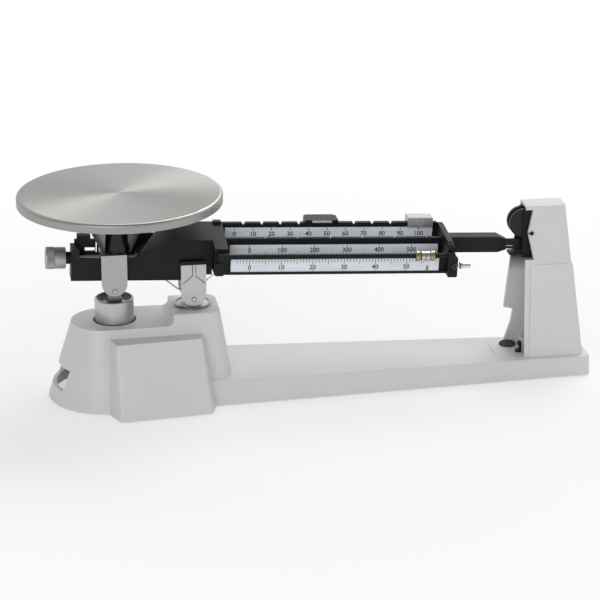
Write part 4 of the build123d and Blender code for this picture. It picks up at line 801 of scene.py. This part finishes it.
class BALANCE_OT_zero_knob(LookOperator, Operator):
    """Model the knurled zero knob and finish its spindle and nut"""

    bl_idname = "balance.zero_knob"
    bl_label = "Zero knob"

    def execute(self, context):
        look = self.look
        centre = BEAM @ (Vector((KNOB_LEFT, 0.0, KNOB_AXIS_Z)) * MM)
        warm = turned_metal("knob_steel", shade(look.satin_colour, 0.80), centre, ALONG_BEAM,
                            rough=0.30)
        knob = self.make_knob()
        finish_piece(knob, "knurled_knob", warm, "zero_knob")
        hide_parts("zero_knob")
        steel = turned_metal("spindle_steel", shade(look.steel_colour, 0.8), centre, ALONG_BEAM,
                             rough=0.2)
        dress(steel, "zero_spindle", "zero_knob", "balance_nut")
        return {"FINISHED"}

    def make_knob(self):
        """A bevelled cylinder: diamond knurls to grip_end, a groove, and dished end faces."""
        length = (KNOB_RIGHT - KNOB_LEFT) * MM
        radius = KNOB_RADIUS * MM
        rim = 0.9 * MM
        grip_end = 6.2 * MM
        groove_width = 1.3 * MM
        count = self.look.knurl_count
        pitch = 2 * math.pi * radius / count
        rows = round((grip_end - rim) / pitch)
        low, high = rim, rim + pitch * rows
        start_clean()
        bpy.ops.mesh.primitive_cylinder_add(vertices=count, radius=radius, depth=length,
                                            location=(0.0, 0.0, length / 2))
        bpy.ops.object.transform_apply(location=True)
        knob = bpy.context.object
        edit("EDGE")
        pick("edges", is_level)
        bpy.ops.mesh.bevel(offset=rim, segments=2, profile=0.6, affect="EDGES")
        cuts = [rim + pitch * k for k in range(1, rows + 1)] + [grip_end + 0.9 * MM]
        for z in cuts:
            bpy.ops.mesh.select_all(action="SELECT")
            bpy.ops.mesh.bisect(plane_co=(0.0, 0.0, z), plane_no=(0.0, 0.0, 1.0))
        bpy.ops.mesh.select_mode(type="FACE")
        self.pick_grip(low, high)
        bpy.ops.mesh.poke(offset=0.0)
        bpy.ops.mesh.select_mode(type="EDGE")
        pick("edges", lambda e: low + SAME_PLACE < middle(e).z < high - SAME_PLACE
             and (is_level(e) or is_upright(e)))
        bpy.ops.mesh.dissolve_edges(use_verts=False)
        bpy.ops.mesh.select_mode(type="FACE")
        self.pick_grip(low, high)
        bpy.ops.mesh.poke(offset=self.look.knurl_depth * MM)
        pick("faces", lambda g: high < middle(g).z < high + groove_width and g.normal.z ** 2 < 0.5)
        bpy.ops.mesh.inset(thickness=0.12 * MM, depth=-0.35 * MM, use_boundary=True)
        for side in (-1, 1):
            pick("faces", lambda g: g.normal.z * side > 0.9 and len(g.verts) > 20)
            bpy.ops.mesh.inset(thickness=2.0 * MM)
            bpy.ops.mesh.inset(thickness=0.5 * MM, depth=-0.4 * MM)
        bpy.ops.object.mode_set(mode="OBJECT")
        knob.matrix_world = (Matrix.Translation(Vector((KNOB_LEFT, 0.0, KNOB_AXIS_Z)) * MM)
                             @ Matrix.Rotation(RIGHT_ANGLE, 4, "Y"))
        return knob

    def pick_grip(self, low, high):
        """Selects the four-sided faces between the two heights."""
        pick("faces", lambda g: len(g.verts) == 4 and low < middle(g).z < high)


class BALANCE_OT_pan(LookOperator, Operator):
    """Finish the spun pan, its stud, the hub and the spider below it"""

    bl_idname = "balance.pan"
    bl_label = "Pan"

    def execute(self, context):
        look = self.look
        pan = turned_metal("spun_pan_steel", look.pan_colour, PAN_AXIS, pitch=0.45 * MM,
                           rough=0.27, contrast=0.80, anisotropic=0.75, wear=0.18,
                           depth=0.006 * MM)
        dress(pan, "pan_dish")
        dress(turned_metal("stud_steel", look.steel_colour, PAN_AXIS), "pan_stud")
        dress(moulded_black("hub_plastic", (0.004, 0.004, 0.0042)), "support_hub")
        dress(brushed_metal("spider_metal", shade(look.satin_colour, 0.55),
                            (0.4 * MM, 0.4 * MM, 6 * MM), rough=0.34), "support_spider")
        return {"FINISHED"}


class BALANCE_OT_supports(LookOperator, Operator):
    """Finish the stirrup, fulcrum bracket, sleeve, pins and check link"""

    bl_idname = "balance.supports"
    bl_label = "Supports"

    def execute(self, context):
        look = self.look
        cheek = brushed_metal("cheek_satin", look.satin_colour, (0.25 * MM, 0.25 * MM, 10 * MM),
                              rough=0.30, contrast=0.84)
        dress(cheek, "fulcrum_bracket", "check_stem", "check_link")
        dress(brushed_metal("stirrup_satin", shade(look.satin_colour, 0.80),
                            (0.25 * MM, 0.25 * MM, 12 * MM), rough=0.34, contrast=0.86, edge_highlight=1.7),
              "stirrup")
        # Painted shade: the hanger head inside the sleeve's mouth is darkened to a dim grey.
        dress(brushed_metal("head_satin", shade(look.satin_colour, 0.42),
                            (0.3 * MM, 0.3 * MM, 3 * MM)), "hanger_head")
        dress(turned_metal("sleeve_steel", look.satin_colour, SLEEVE_AXIS, pitch=0.3 * MM,
                           rough=0.28, contrast=0.82, anisotropic=0.5), "hanger_sleeve")
        dress(turned_metal("seat_ring_steel", shade(look.satin_colour, 0.6), SEAT_RING_AXIS),
              "fulcrum_seat_ring")
        pins = turned_metal("pin_steel", look.steel_colour, PIN_CENTRE, ALONG_Y, rough=0.14)
        dress(pins, "fulcrum_pin", "link_base_pin", "stirrup_pin", "stem_pin", "fulcrum_bearings",
              "pan_bearings")
        # Painted shadow: black strokes stand for the shade in the cheeks' grooves, and black rims for
        # the shade round the pin ends.
        shaded_groove = satin_black(look, "groove_shadow")
        strokes = [stroke for line in CHEEK_LINES
                   for stroke in strokes_through(line, CHEEK_FACE_Y, 0.42)]
        finish_piece(join(strokes), "cheek_groove_lines", shaded_groove, "base",
                     Matrix(), flat=True)
        for node, body, name in (("stirrup_pin", "pan_support", "stirrup_pin_rim"),
                                 ("fulcrum_pin", "base", "fulcrum_pin_rim")):
            low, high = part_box(node)
            rim = pin_rim(Vector(((low.x + high.x) / 2, low.y, (low.z + high.z) / 2)),
                          (high.z - low.z) / 2)
            finish_piece(rim, name, shaded_groove, body, Matrix())
        return {"FINISHED"}


class BALANCE_OT_damper(LookOperator, Operator):
    """Finish the magnets, their yoke, the damper blade and the column's small fittings"""

    bl_idname = "balance.damper"
    bl_label = "Damper"

    def execute(self, context):
        look = self.look
        dress(sintered_magnet(look), "front_magnet", "rear_magnet")
        # Painted shade: the yoke and clip inside the column's notch are made near black.
        dress(brushed_metal("yoke_zinc", shade(look.steel_colour, 0.05),
                            (0.5 * MM, 0.5 * MM, 5 * MM), rough=0.38), "magnet_yoke", "column_clip")
        dress(satin_black(look, "blade_black", 0.1), "damper_blade")
        return {"FINISHED"}


class BALANCE_PT_looks(Panel):
    """The balance's looks in the sidebar of the 3D view"""

    bl_label = "Balance"
    bl_space_type = "VIEW_3D"
    bl_region_type = "UI"
    bl_category = "Balance"

    def draw(self, context):
        for prop in BalanceLook.__annotations__:
            self.layout.prop(context.scene.balance_look, prop)
        for step in STEPS:
            self.layout.operator(step.bl_idname)


STEPS = (BALANCE_OT_stage, BALANCE_OT_castings, BALANCE_OT_beam, BALANCE_OT_scale_plates,
         BALANCE_OT_poises, BALANCE_OT_zero_knob, BALANCE_OT_pan, BALANCE_OT_supports,
         BALANCE_OT_damper)


def register():
    for kind in (BalanceLook, *STEPS, BALANCE_PT_looks):
        bpy.utils.register_class(kind)
    bpy.types.Scene.balance_look = PointerProperty(type=BalanceLook)


def unregister():
    del bpy.types.Scene.balance_look
    for kind in (BALANCE_PT_looks, *reversed(STEPS), BalanceLook):
        bpy.utils.unregister_class(kind)


def main():
    register()
    for step in STEPS:
        group, name = step.bl_idname.split(".")
        getattr(getattr(bpy.ops, group), name)()


if __name__ == "__main__":
    main()
